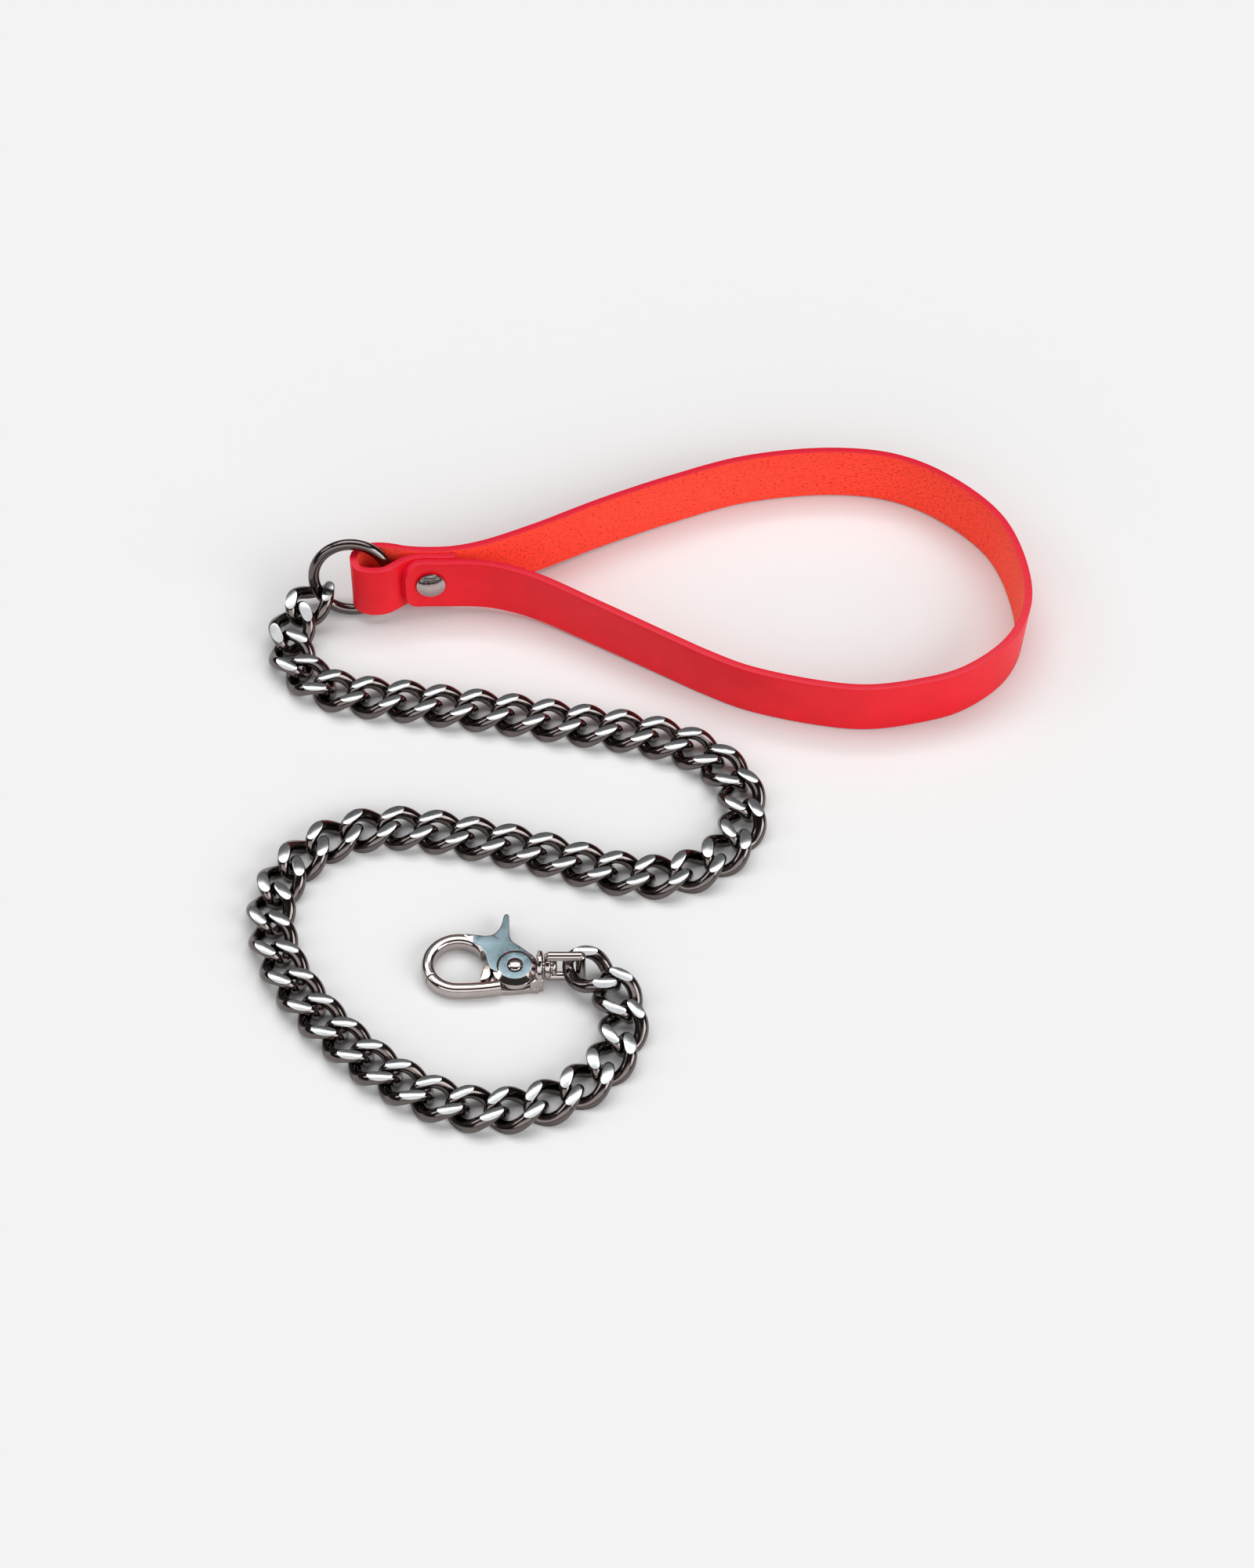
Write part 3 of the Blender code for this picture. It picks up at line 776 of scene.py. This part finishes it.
class Route:
    """A smooth centripetal curve through the entries of a route, read by the distance run over the floor."""

    def __init__(self, entries: Sequence[Sequence[float]], fineness: int = 40) -> None:
        """Samples the curve.

        Args:
            entries: Points with any values that go with them.
            fineness: Samples for each stretch.
        """
        keys = [Vector(entry) for entry in entries]
        keys.insert(0, keys[0] * 2 - keys[1])
        keys.append(keys[-1] * 2 - keys[-2])
        self.fine: list[Vector] = []
        for a, b, c, d in zip(keys, keys[1:], keys[2:], keys[3:]):
            self.fine += self.stretch(a, b, c, d, fineness)
        self.fine.append(keys[-2])
        self.run = [0.0]
        for a, b in zip(self.fine, self.fine[1:]):
            self.run.append(self.run[-1] + (b - a).xy.length)

    @staticmethod
    def stretch(a: Vector, b: Vector, c: Vector, d: Vector, fineness: int) -> list[Vector]:
        """Samples between b and c of the curve through four keys."""
        t1 = math.sqrt((b - a).length)
        t2 = t1 + math.sqrt((c - b).length)
        t3 = t2 + math.sqrt((d - c).length)
        samples = []
        for step in range(fineness):
            t = t1 + (t2 - t1) * step / fineness
            ab = a.lerp(b, t / t1)
            bc = b.lerp(c, (t - t1) / (t2 - t1))
            cd = c.lerp(d, (t - t2) / (t3 - t2))
            samples.append(ab.lerp(bc, t / t2).lerp(bc.lerp(cd, (t - t1) / (t3 - t1)), (t - t1) / (t2 - t1)))
        return samples

    def at(self, run: float) -> Vector:
        """The entry at a distance along the route."""
        i = min(max(int(np.searchsorted(self.run, run)), 1), len(self.run) - 1)
        share = (run - self.run[i - 1]) / (self.run[i] - self.run[i - 1])
        return self.fine[i - 1].lerp(self.fine[i], share)


@dataclass
class WristLoop:
    """The leather handle: one strap folded round the ring, closed by a double-cap rivet."""

    palette: Palette
    width: float = 19.0
    thickness: float = 2.6
    end_radius: float = 6.0
    step: float = 1.4
    columns: int = 12
    edge_round: float = 0.62
    rivet_centre: Vector = Vector((-73.1, 81.75, 12.7))
    rivet_axis: Vector = Vector((0.09, -0.99, 0.11)).normalized()
    cap_radius: float = 4.9
    post_radius: float = 2.0
    dimple: float = 0.45

    def build(self) -> None:
        """Makes the strap and both rivet caps."""
        self.build_strap()
        self.build_rivet()

    def stations(self, total: float) -> list[tuple[float, float]]:
        """Distances along the strap with the half width there, close together round the shaped end."""
        plain = total - self.end_radius
        count = round(plain / self.step)
        rows = [(plain * i / count, self.width / 2) for i in range(count + 1)]
        for i in range(1, 15):
            turn = math.radians(86.0 * i / 14)
            cut = self.end_radius * (1 - math.cos(turn))
            rows.append((plain + self.end_radius * math.sin(turn), self.width / 2 - cut))
        return rows

    def build_strap(self) -> None:
        """The strap: grain side, flesh side and painted edges, with a hollow pressed in round the rivet."""
        route = Route(STRAP_ROUTE)
        total = route.run[-1]
        bm = bmesh.new()
        layer = bm.loops.layers.uv.new("strap")
        coords: dict[bmesh.types.BMVert, tuple[float, float]] = {}
        rows = []
        for run, half in self.stations(total):
            here = route.at(run)
            along = (route.at(min(run + 0.5, total)) - route.at(max(run - 0.5, 0.0))).xyz.normalized()
            up = Vector((here[3], here[4], self.width)).normalized()
            up = (up - along * up.dot(along)).normalized()
            out = along.cross(up)
            middle = here.xyz + up * (self.width / 2)
            row = []
            for side in (-1, 1):
                for i in range(self.columns + 1):
                    across = half * (2 * i / self.columns - 1)
                    spot = middle + up * across + out * (side * self.thickness / 2)
                    spot -= out * (side * self.hollow(spot, out * side))
                    vert = bm.verts.new(spot * MM)
                    coords[vert] = (run * MM, across * MM)
                    row.append(vert)
            rows.append(row)
        size = self.columns + 1
        for near, far in zip(rows, rows[1:]):
            for i in range(self.columns):
                grain = (near[i], near[i + 1], far[i + 1], far[i])
                flesh = (near[size + i + 1], near[size + i], far[size + i], far[size + i + 1])
                bm.faces.new(grain).material_index = 0
                bm.faces.new(flesh).material_index = 1
            for i in (0, self.columns):
                bm.faces.new((near[i], far[i], far[size + i], near[size + i])).material_index = 2
        for row in (rows[0], rows[-1]):
            for i in range(self.columns):
                bm.faces.new((row[i], row[i + 1], row[size + i + 1], row[size + i])).material_index = 2
        for face in bm.faces:
            face.smooth = True
            for loop in face.loops:
                loop[layer].uv = coords[loop.vert]
        bmesh.ops.recalc_face_normals(bm, faces=bm.faces)
        strap = solid_object("leather_strap", bm)
        for finish in (Finish.GRAIN, Finish.FLESH, Finish.EDGE):
            strap.data.materials.append(self.palette[finish])
        ease = strap.modifiers.new("eased edges", "BEVEL")
        ease.width = self.edge_round * MM
        ease.segments = 4
        ease.limit_method = "ANGLE"
        ease.angle_limit = math.radians(50)
        ease.material = 2
        dress(baked(strap), (), "handle", Slot.LEATHER.value, "handle_strap")

    def hollow(self, spot: Vector, facing: Vector) -> float:
        """How far the rivet presses the leather in at a point of one of its faces."""
        away = spot - self.rivet_centre
        along = away.dot(self.rivet_axis)
        if abs(along) < self.thickness or facing.dot(self.rivet_axis) * along < 0:
            return 0.0
        radius = (away - self.rivet_axis * along).length
        return self.dimple * math.exp(-((radius / 5.6) ** 4)) if radius < 12 else 0.0

    def build_rivet(self) -> None:
        """Both caps: a pressed dome with a rolled rim, the front one on the post."""
        reach = 1.5 * self.thickness + 0.6 - self.dimple
        radius = self.cap_radius
        post = self.post_radius
        dome = [
            (reach + 0.55 + 0.95 * (1 - t**2.2), radius * 0.93 * t)
            for t in (1.0, 0.96, 0.88, 0.76, 0.6, 0.42, 0.22)
        ]
        rim = [
            (reach, post),
            (reach, radius * 0.93),
            (reach + 0.12, radius * 0.985),
            (reach + 0.32, radius),
            (reach + 0.5, radius * 0.98),
        ]
        for name, way, node in (("rivet_cap_front", 1, "rivet_front"), ("rivet_cap_back", -1, "rivet_back")):
            shift = 0.35 if way < 0 else 0.0
            start = -reach - 0.1 if way > 0 else reach - 0.4
            profile = [(start, 0.0), (start, post), *rim, *dome, (reach + 1.52, 0.0)]
            centre = self.rivet_centre + self.rivet_axis * (way * shift)
            cap = lathe_piece(name, profile, centre, self.rivet_axis * way, 64, 40.0)
            dress(cap, [self.palette[Finish.CASTING]], "handle", Slot.GUNMETAL.value, node)


# ---------------------------------------------------------------- ring and chain


SOCKET_KINDS = {
    int: "NodeSocketInt",
    float: "NodeSocketFloat",
    Vector: "NodeSocketVector",
    bpy.types.Material: "NodeSocketMaterial",
}


class Grower:
    """A geometry tree with a named input for each value, run once to make a plain mesh."""

    def __init__(self, name: str, values: dict[str, Any]) -> None:
        """Starts the tree.

        Args:
            name: Name of the tree.
            values: Value of each input by name.
        """
        self.values = values
        self.tree = bpy.data.node_groups.new(name, "GeometryNodeTree")
        sockets = self.tree.interface
        sockets.new_socket("Geometry", in_out="OUTPUT", socket_type="NodeSocketGeometry")
        self.keys: dict[str, str] = {}
        for title, value in values.items():
            kind = next(kind for sort, kind in SOCKET_KINDS.items() if isinstance(value, sort))
            self.keys[title] = sockets.new_socket(title, in_out="INPUT", socket_type=kind).identifier
        self.given = self.add("NodeGroupInput").outputs

    def add(
        self, kind: str, settings: dict[str, Any] | None = None, inputs: dict[str | int, Any] | None = None
    ) -> bpy.types.Node:
        """Adds a node to the tree."""
        return add_node(self.tree, kind, settings, inputs)

    def bar(self, curve: Any, sides: Any, radius: Any, **more: Any) -> bpy.types.Node:
        """Round bar of a radius along a curve."""
        section = self.add(
            "GeometryNodeCurvePrimitiveCircle", inputs={"Resolution": sides, "Radius": radius}
        )
        ends = {"Curve": curve, "Profile Curve": section.outputs[0], **more}
        return self.add("GeometryNodeCurveToMesh", inputs=ends)

    def finished(self, geometry: bpy.types.NodeSocket, finish: str) -> bpy.types.NodeSocket:
        """Real geometry in one of the finishes."""
        real = self.add("GeometryNodeRealizeInstances", inputs={0: geometry})
        inputs = {"Geometry": real.outputs[0], "Material": self.given[finish]}
        return self.add("GeometryNodeSetMaterial", inputs=inputs).outputs[0]

    def grown(self, name: str, result: bpy.types.NodeSocket) -> bpy.types.Object:
        """Runs the tree and keeps its result.

        Args:
            name: Name of the piece.
            result: The tree's last geometry.

        Returns:
            The piece as a plain mesh, with no modifier left.
        """
        self.add("NodeGroupOutput", inputs={0: result})
        made = mesh_object(name, bpy.data.meshes.new(name))
        modifier = made.modifiers.new(name, "NODES")
        modifier.node_group = self.tree
        for title, value in self.values.items():
            modifier[self.keys[title]] = value
        return baked(made)


@dataclass
class Ring:
    """The welded O-ring, leaning back on the floor."""

    palette: Palette
    radius: float = 12.7
    wire: float = 1.88
    lean: float = 16.6

    def build(self) -> None:
        """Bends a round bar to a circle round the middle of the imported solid, and leans it."""
        low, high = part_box("o_ring")
        grower = Grower(
            "Round bar ring",
            {
                "Radius": self.radius * MM,
                "Wire": self.wire * MM,
                "Centre": Vector((low + high) / 2),
                "Lean": math.radians(90 - self.lean),
                "Finish": self.palette[Finish.WIRE],
            },
        )
        given = grower.given
        loop = grower.add(
            "GeometryNodeCurvePrimitiveCircle", inputs={"Resolution": 128, "Radius": given["Radius"]}
        )
        bar = grower.bar(loop.outputs[0], 28, given["Wire"])
        smooth = grower.add("GeometryNodeSetShadeSmooth", inputs={0: bar.outputs[0]})
        turn = grower.add("ShaderNodeCombineXYZ", inputs={"X": given["Lean"]})
        placed = grower.add(
            "GeometryNodeTransform",
            inputs={
                "Geometry": smooth.outputs[0],
                "Translation": given["Centre"],
                "Rotation": turn.outputs[0],
            },
        )
        ring = grower.grown("o_ring_bar", grower.finished(placed.outputs[0], "Finish"))
        dress(ring, (), "ring", Slot.GUNMETAL.value, "o_ring")


@dataclass
class CurbChain:
    """The planed curb chain, one piece for each link body."""

    palette: Palette
    half_length: float = 8.4
    half_width: float = 5.8
    bar_radius: float = 2.2
    end_radius: float = 1.8
    twist: float = -62.0
    top_plane: float = 3.75
    bottom_plane: float = 3.2
    steps: int = 60
    sides: int = 18
    rim: float = 0.1

    def pattern(self) -> bpy.types.Mesh:
        """The link that every other one copies: twisted wire, planed flat above and below."""
        grower = Grower(
            "Planed curb link",
            {
                "Half Length": self.half_length * MM,
                "Half Width": self.half_width * MM,
                "Bar Radius": self.bar_radius * MM,
                "End Radius": self.end_radius * MM,
                "Twist": math.radians(self.twist),
                "Top Plane": self.top_plane * MM,
                "Bottom Plane": self.bottom_plane * MM,
                "Steps": self.steps,
                "Sides": self.sides,
                "Wire Finish": self.palette[Finish.WIRE],
                "Flat Finish": self.palette[Finish.FLAT],
            },
        )
        link = grower.grown("curb_link", self.planed(grower, self.twisted_wire(grower)))
        mesh = link.data
        bpy.data.objects.remove(link)
        self.ease_rims(mesh)
        return mesh

    @staticmethod
    def twisted_wire(grower: Grower) -> bpy.types.NodeSocket:
        """An oval of wire twisted about its length, thinner round its ends."""
        tree, given = grower.tree, grower.given
        index = grower.add("GeometryNodeInputIndex").outputs[0]
        share = math_chain(tree, "DIVIDE", index, given["Steps"])
        turn = math_chain(tree, "MULTIPLY", share, 2 * math.pi)
        cosine = math_chain(tree, "COSINE", turn)
        sine = math_chain(tree, "SINE", turn)
        twist = math_chain(tree, "MULTIPLY", given["Twist"], cosine)
        side = math_chain(tree, "MULTIPLY", given["Half Width"], sine)
        spot = grower.add(
            "ShaderNodeCombineXYZ",
            inputs={
                "X": math_chain(tree, "MULTIPLY", given["Half Length"], cosine),
                "Y": math_chain(tree, "MULTIPLY", side, math_chain(tree, "COSINE", twist)),
                "Z": math_chain(tree, "MULTIPLY", side, math_chain(tree, "SINE", twist)),
            },
        )
        extra = math_chain(tree, "SUBTRACT", given["Bar Radius"], given["End Radius"])
        swell = math_chain(tree, "POWER", sine, 2.0)
        radius = math_chain(tree, "MULTIPLY_ADD", extra, swell, given["End Radius"])
        oval = grower.add("GeometryNodeCurvePrimitiveCircle", inputs={"Resolution": given["Steps"]})
        bent = grower.add(
            "GeometryNodeSetPosition", inputs={"Geometry": oval.outputs[0], "Position": spot.outputs[0]}
        )
        return grower.bar(bent.outputs[0], given["Sides"], 1.0, Scale=radius).outputs[0]

    @staticmethod
    def planed(grower: Grower, wire: bpy.types.NodeSocket) -> bpy.types.NodeSocket:
        """The wire kept between two planes, with its flats in their own finish."""
        tree, given = grower.tree, grower.given
        height = math_chain(tree, "ADD", given["Top Plane"], given["Bottom Plane"])
        room = grower.add("ShaderNodeCombineXYZ", inputs={"X": 0.1, "Y": 0.1, "Z": height})
        block = grower.add("GeometryNodeMeshCube", inputs={"Size": room.outputs[0]})
        rise = math_chain(tree, "SUBTRACT", given["Top Plane"], given["Bottom Plane"])
        offset = math_chain(tree, "MULTIPLY", rise, 0.5)
        lift = grower.add("ShaderNodeCombineXYZ", inputs={"Z": offset})
        slab = grower.add(
            "GeometryNodeTransform", inputs={"Geometry": block.outputs[0], "Translation": lift.outputs[0]}
        )
        kept = grower.add(
            "GeometryNodeMeshBoolean",
            {"operation": "INTERSECT", "solver": "EXACT"},
            {"Mesh 2": [wire, slab.outputs[0]]},
        )
        normal, place = (
            grower.add("ShaderNodeSeparateXYZ", inputs={0: grower.add(kind).outputs[0]}).outputs["Z"]
            for kind in ("GeometryNodeInputNormal", "GeometryNodeInputPosition")
        )
        level = math_chain(tree, "GREATER_THAN", math_chain(tree, "ABSOLUTE", normal), 0.9999)
        from_middle = math_chain(tree, "ABSOLUTE", math_chain(tree, "SUBTRACT", place, offset))
        limit = math_chain(tree, "MULTIPLY", height, 0.4995)
        flat = math_chain(tree, "MULTIPLY", level, math_chain(tree, "GREATER_THAN", from_middle, limit))
        smooth = grower.add("GeometryNodeSetShadeSmooth", inputs={0: kept.outputs[0]})
        lapped = grower.add(
            "GeometryNodeSetMaterial",
            inputs={
                "Geometry": grower.finished(smooth.outputs[0], "Wire Finish"),
                "Selection": flat,
                "Material": given["Flat Finish"],
            },
        )
        return lapped.outputs[0]

    def ease_rims(self, mesh: bpy.types.Mesh) -> None:
        """Bevels the edge between each planed face and the round wire."""
        bm = bmesh.new()
        bm.from_mesh(mesh)
        bmesh.ops.remove_doubles(bm, verts=bm.verts, dist=0.02 * MM)
        rims = [
            edge
            for edge in bm.edges
            if len(edge.link_faces) == 2
            and edge.link_faces[0].material_index != edge.link_faces[1].material_index
        ]
        bmesh.ops.bevel(
            bm,
            geom=rims,
            offset=self.rim * MM,
            segments=2,
            profile=0.5,
            affect="EDGES",
            clamp_overlap=True,
            material=0,
        )
        for face in bm.faces:
            face.smooth = face.material_index == 0
        bm.to_mesh(mesh)
        bm.free()
        mesh.set_sharp_from_angle(angle=math.radians(35))

    @staticmethod
    def placement(node: str, far: Vector) -> Matrix:
        """Where a link lies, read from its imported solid.

        Args:
            node: Name of the link's node.
            far: The joint at its far end.

        Returns:
            Matrix from the pattern link, which lies along X with its planed faces up and down.
        """
        corners = np.array([v.co for v in frame["nodes"][node].data.vertices], float)
        corners = np.unique(np.round(corners, 7), axis=0)
        centre = corners.mean(axis=0)
        # A link is thinnest across its planed faces, so that is the least axis of its spread.
        thin = np.linalg.eigh(np.cov((corners - centre).T))[1][:, 0]
        up = Vector(thin if thin[2] > 0 else -thin)
        along = far - Vector(centre)
        along = (along - up * along.dot(up)).normalized()
        turn = Matrix((along, up.cross(along), up)).transposed()
        return Matrix.Translation(centre) @ turn.to_4x4()

    def build(self) -> None:
        """Places a copy of the pattern link on every link body."""
        pattern = self.pattern()
        ends = {joint["parent"]: Vector(joint["pos_m"]) for joint in frame["joints"]}
        for body in sorted(name for name in frame["bodies"] if name.startswith("link_")):
            mesh = pattern.copy()
            mesh.transform(self.placement(body, ends[body]))
            link = mesh_object(f"curb_{body}", mesh)
            dress(link, (), body, Slot.GUNMETAL.value, body)


# ---------------------------------------------------------------- trigger snap


@dataclass
class TriggerSnap:
    """Snap body, gate, pin, spring, stud and swivel eye, all die-cast or turned."""

    palette: Palette
    eye: Vector = Vector((-60.0, -73.4, 0.0))
    eye_inner: float = 7.6
    eye_outer: float = 11.6
    top: float = 5.5
    hub: Vector = Vector((-42.1, -75.1, 0.0))
    hub_radius: float = 7.3
    gate_bottom: float = 2.6
    gate_top: float = 5.8
    pin_hole: float = 1.8
    swivel_y: float = -76.2
    swivel_z: float = 6.7
    bar_x: float = -21.5
    frame_half: float = 5.4
    frame_turn: float = 92.0
    arm_radius: float = 1.5
    bar_radius: float = 1.6
    shoulder_radius: float = 1.1
    bore_radius: float = 1.9
    # Bounds of the lapped top, whose darker, bluer tone is painted reflection.
    lapped_painted_top_right_of: float = -55.5
    lapped_painted_top_above: float = 4.8

    def build(self) -> None:
        """Makes every piece of the snap."""
        self.build_body()
        self.build_gate()
        self.build_pin()
        self.build_spring()
        self.build_stud()
        self.build_eye()

    def band(self, start: float, end: float, tail: Sequence[tuple[float, float]] = ()) -> bmesh.types.BMesh:
        """A rounded bar bent about the eye's middle, and then run on along a tail.

        Args:
            start: Angle that it starts from, in degrees.
            end: Angle where the bend ends.
            tail: Points that its middle line goes on through.

        Returns:
            The bar.
        """
        middle = (self.eye_inner + self.eye_outer) / 2
        half = (self.eye_outer - self.eye_inner) / 2
        steps = max(8, round(abs(end - start) / 5))
        line = []
        for i in range(steps + 1):
            angle = math.radians(start + (end - start) * i / steps)
            line.append(self.eye.xy + Vector((math.cos(angle), math.sin(angle))) * middle)
        line += [Vector(point) for point in tail]
        rings = []
        for i, spot in enumerate(line):
            ahead = (line[min(i + 1, len(line) - 1)] - line[max(i - 1, 0)]).normalized()
            outward = Vector((ahead.y, -ahead.x, 0.0))
            ring = []
            for j in range(20):
                turn = 2 * math.pi * j / 20
                across = math.copysign(abs(math.cos(turn)) ** 0.75, math.cos(turn)) * half
                rise = math.copysign(abs(math.sin(turn)) ** 0.6, math.sin(turn)) * (self.top / 2 - 0.05)
                ring.append(spot.to_3d() + outward * across + Vector((0, 0, self.top / 2 + rise)))
            rings.append(ring)
        return loft(rings, False)

    def build_body(self) -> None:
        """The fixed half: lower jaw, back plate, neck and collar."""
        back = (
            (-54.0, -83.6), (-50.0, -83.2), (-46.0, -82.8), (-41.0, -82.4), (-37.0, -81.8), (-34.4, -81.2),
            (-34.4, -71.4), (-37.4, -69.4), (-42.0, -68.0), (-47.0, -69.6), (-49.8, -73.0), (-51.6, -78.6),
        )
        heel = (
            (-37.4, -82.0), (-33.2, -81.2), (-33.2, -70.9), (-35.6, -70.6), (-34.6, -75.0), (-35.0, -79.6),
        )
        fork = (
            (-52.8, -80.2), (-50.2, -79.2), (-49.8, -76.4), (-50.4, -74.4), (-51.6, -74.6), (-52.6, -77.6),
        )
        collar = (
            (0.0, 0.0), (0.0, 3.6), (0.5, 4.6), (1.2, 5.0), (2.3, 5.0), (2.8, 4.6), (2.9, 3.9), (2.9, 0.0),
        )
        swivel = Vector((-36.1, self.swivel_y, self.swivel_z))
        solids = [
            self.band(212.3, 273.0, ((-56.0, -82.9), (-52.5, -82.6), (-49.5, -82.2), (-46.6, -81.7))),
            plate(smooth_closed(back, 5), 0.05, 2.3),
            plate(smooth_closed(fork, 5), 0.05, self.top - 0.5),
            plate(heel, 0.05, 5.8),
            turned(collar, swivel, Vector((1, 0, 0)), 40),
        ]
        up = Vector((0, 0, 1))
        rooms = [
            rod(self.hub - up * 2, self.hub + up * 9, self.pin_hole),
            rod(self.hub + up * 2.2, self.hub + up * 16, self.hub_radius + 0.5, 64),
            rod(
                Vector((-35.2, self.swivel_y, self.swivel_z)),
                Vector((-28.0, self.swivel_y, self.swivel_z)),
                self.bore_radius,
            ),
        ]
        body = cast("snap_casting", solids, rooms, grain=0.13, passes=3, keep=0.25)
        dress(body, [self.palette[Finish.CASTING]], "snap", Slot.NICKEL.value, "snap_body")

    def build_gate(self) -> None:
        """The moving half: upper jaw, thumb lever and hub, with a lapped top whose darker, bluer tone is
        painted reflection.
        """
        lever = (
            (-58.4, -62.7), (-54.8, -62.9), (-51.4, -63.3), (-49.2, -62.7), (-47.5, -60.8),
            (-46.5, -58.2), (-46.1, -55.8), (-45.3, -54.7), (-44.4, -55.4), (-44.2, -58.6),
            (-44.1, -62.2), (-43.3, -65.2), (-40.6, -67.5), (-37.6, -70.2), (-36.6, -72.4),
            (-40.0, -76.0), (-46.0, -77.6), (-49.4, -76.4), (-50.8, -73.2), (-51.9, -69.6), (-54.6, -65.8),
        )
        disc = (
            (self.gate_bottom, 0.0), (self.gate_bottom, self.hub_radius - 0.15),
            (self.gate_bottom + 0.2, self.hub_radius), (self.gate_top - 1.3, self.hub_radius),
            (self.gate_top, self.hub_radius - 2.1), (self.gate_top, 0.0),
        )
        up = Vector((0, 0, 1))
        solids = [
            self.band(29.0, 211.0),
            plate(smooth_closed(lever, 5), self.gate_bottom, self.gate_top - 0.35),
            turned(disc, self.hub, up, 72),
        ]
        rooms = [
            rod(self.hub + up, self.hub + up * 9, self.pin_hole),
            rod(self.hub + up, self.hub + up * 4.2, 4.4, 40),
        ]
        gate = cast("snap_gate_casting", solids, rooms, grain=0.13, passes=3, keep=0.25)
        for finish in (Finish.CASTING, Finish.LAPPED_TOP_PAINTED_REFLECTION):
            gate.data.materials.append(self.palette[finish])
        # Up-facing faces of the top take the lapped finish: real lapping lines, with a darker tone that is
        # painted reflection.
        for face in gate.data.polygons:
            inside = face.center.x > self.lapped_painted_top_right_of * MM and face.center.z > self.lapped_painted_top_above * MM
            face.material_index = 1 if inside and face.normal.z > 0.97 else 0
        dress(gate, (), "gate", Slot.NICKEL.value, "snap_gate")

    def build_pin(self) -> None:
        """The pivot pin with its domed head."""
        top = self.gate_top
        profile = (
            (0.3, 0.0), (0.3, 1.3), (0.5, 1.5), (top + 0.15, 1.5), (top + 0.15, 2.35), (top + 0.3, 2.5),
            (top + 0.55, 2.45), (top + 0.85, 2.1), (top + 1.1, 1.5), (top + 1.25, 0.8), (top + 1.3, 0.0),
        )
        pin = lathe_piece("gate_pin_turned", profile, self.hub, Vector((0, 0, 1)))
        dress(pin, [self.palette[Finish.CASTING]], "snap", Slot.NICKEL.value, "gate_pin")

    def build_spring(self) -> None:
        """The gate's coil: round wire that winds outward as it rises."""
        grower = Grower(
            "Widening coil",
            {
                "Inner": 2.5 * MM,
                "Outer": 3.8 * MM,
                "Rise": 1.0 * MM,
                "Turns": 2.0,
                "Wire": 0.3 * MM,
                "Centre": (self.hub + Vector((0, 0, self.gate_bottom))) * MM,
                "Finish": self.palette[Finish.SPRING],
            },
        )
        given = grower.given
        coil = grower.add(
            "GeometryNodeCurveSpiral",
            inputs={
                "Resolution": 40,
                "Rotations": given["Turns"],
                "Start Radius": given["Inner"],
                "End Radius": given["Outer"],
                "Height": given["Rise"],
            },
        )
        wire = grower.bar(coil.outputs[0], 12, given["Wire"], **{"Fill Caps": True})
        placed = grower.add(
            "GeometryNodeTransform", inputs={"Geometry": wire.outputs[0], "Translation": given["Centre"]}
        )
        coil_piece = grower.grown("gate_coil", grower.finished(placed.outputs[0], "Finish"))
        coil_piece.data.shade_smooth()
        dress(coil_piece, (), "snap", Slot.NICKEL.value, "gate_spring")

    def build_stud(self) -> None:
        """The headed stud that the swivel eye turns on."""
        profile = (
            (0.0, 0.0), (0.0, 1.6), (4.1, 1.6), (4.1, 2.75), (4.25, 2.9), (4.9, 2.85), (5.3, 2.3),
            (5.55, 1.2), (5.6, 0.0),
        )
        start = Vector((-34.4, self.swivel_y, self.swivel_z))
        stud = lathe_piece("swivel_stud_turned", profile, start, Vector((1, 0, 0)), 40)
        dress(stud, [self.palette[Finish.CASTING]], "snap", Slot.NICKEL.value, "swivel_stud")

    def build_eye(self) -> None:
        """The swivel eye: a bored foot, two arms and the bar that carries the last link."""
        middle = Vector((-32.9, self.swivel_y, self.swivel_z))
        ahead = Vector((1, 0, 0))
        foot = ((0.0, 0.0), (0.0, 3.4), (0.4, 3.8), (1.7, 3.8), (2.1, 3.4), (2.1, 0.0))
        turn = math.radians(self.frame_turn)
        across = Vector((0.0, math.cos(turn), math.sin(turn)))
        solids = [turned(foot, middle, ahead, 40)]
        for side in (-1, 1):
            corner = middle + across * (side * self.frame_half)
            end = corner + ahead * (self.bar_x + 0.8 - middle.x)
            solids.append(rod(corner + ahead * 0.8, end, self.arm_radius))
        for run, radius in ((1.1, self.shoulder_radius), (self.bar_x - middle.x, self.bar_radius)):
            centre = middle + ahead * run
            reach = across * (self.frame_half + 0.8)
            solids.append(rod(centre - reach, centre + reach, radius))
        bore = rod(middle - ahead * 3, middle + ahead * 5, self.bore_radius)
        eye = cast("swivel_eye_casting", solids, [bore], grain=0.14, passes=4)
        dress(eye, [self.palette[Finish.CASTING]], "eye", Slot.NICKEL.value, "swivel_eye")


# ---------------------------------------------------------------- assembly


def main() -> None:
    """Builds the studio and then the leash, from the handle to the snap."""
    logging.basicConfig(level=logging.INFO, format="%(name)s %(message)s")
    palette = Palette()
    Studio(aim=Vector((-0.007, 0.0026, 0.0))).build()
    WristLoop(palette).build()
    Ring(palette).build()
    CurbChain(palette).build()
    TriggerSnap(palette).build()


if __name__ == "__main__":
    main()
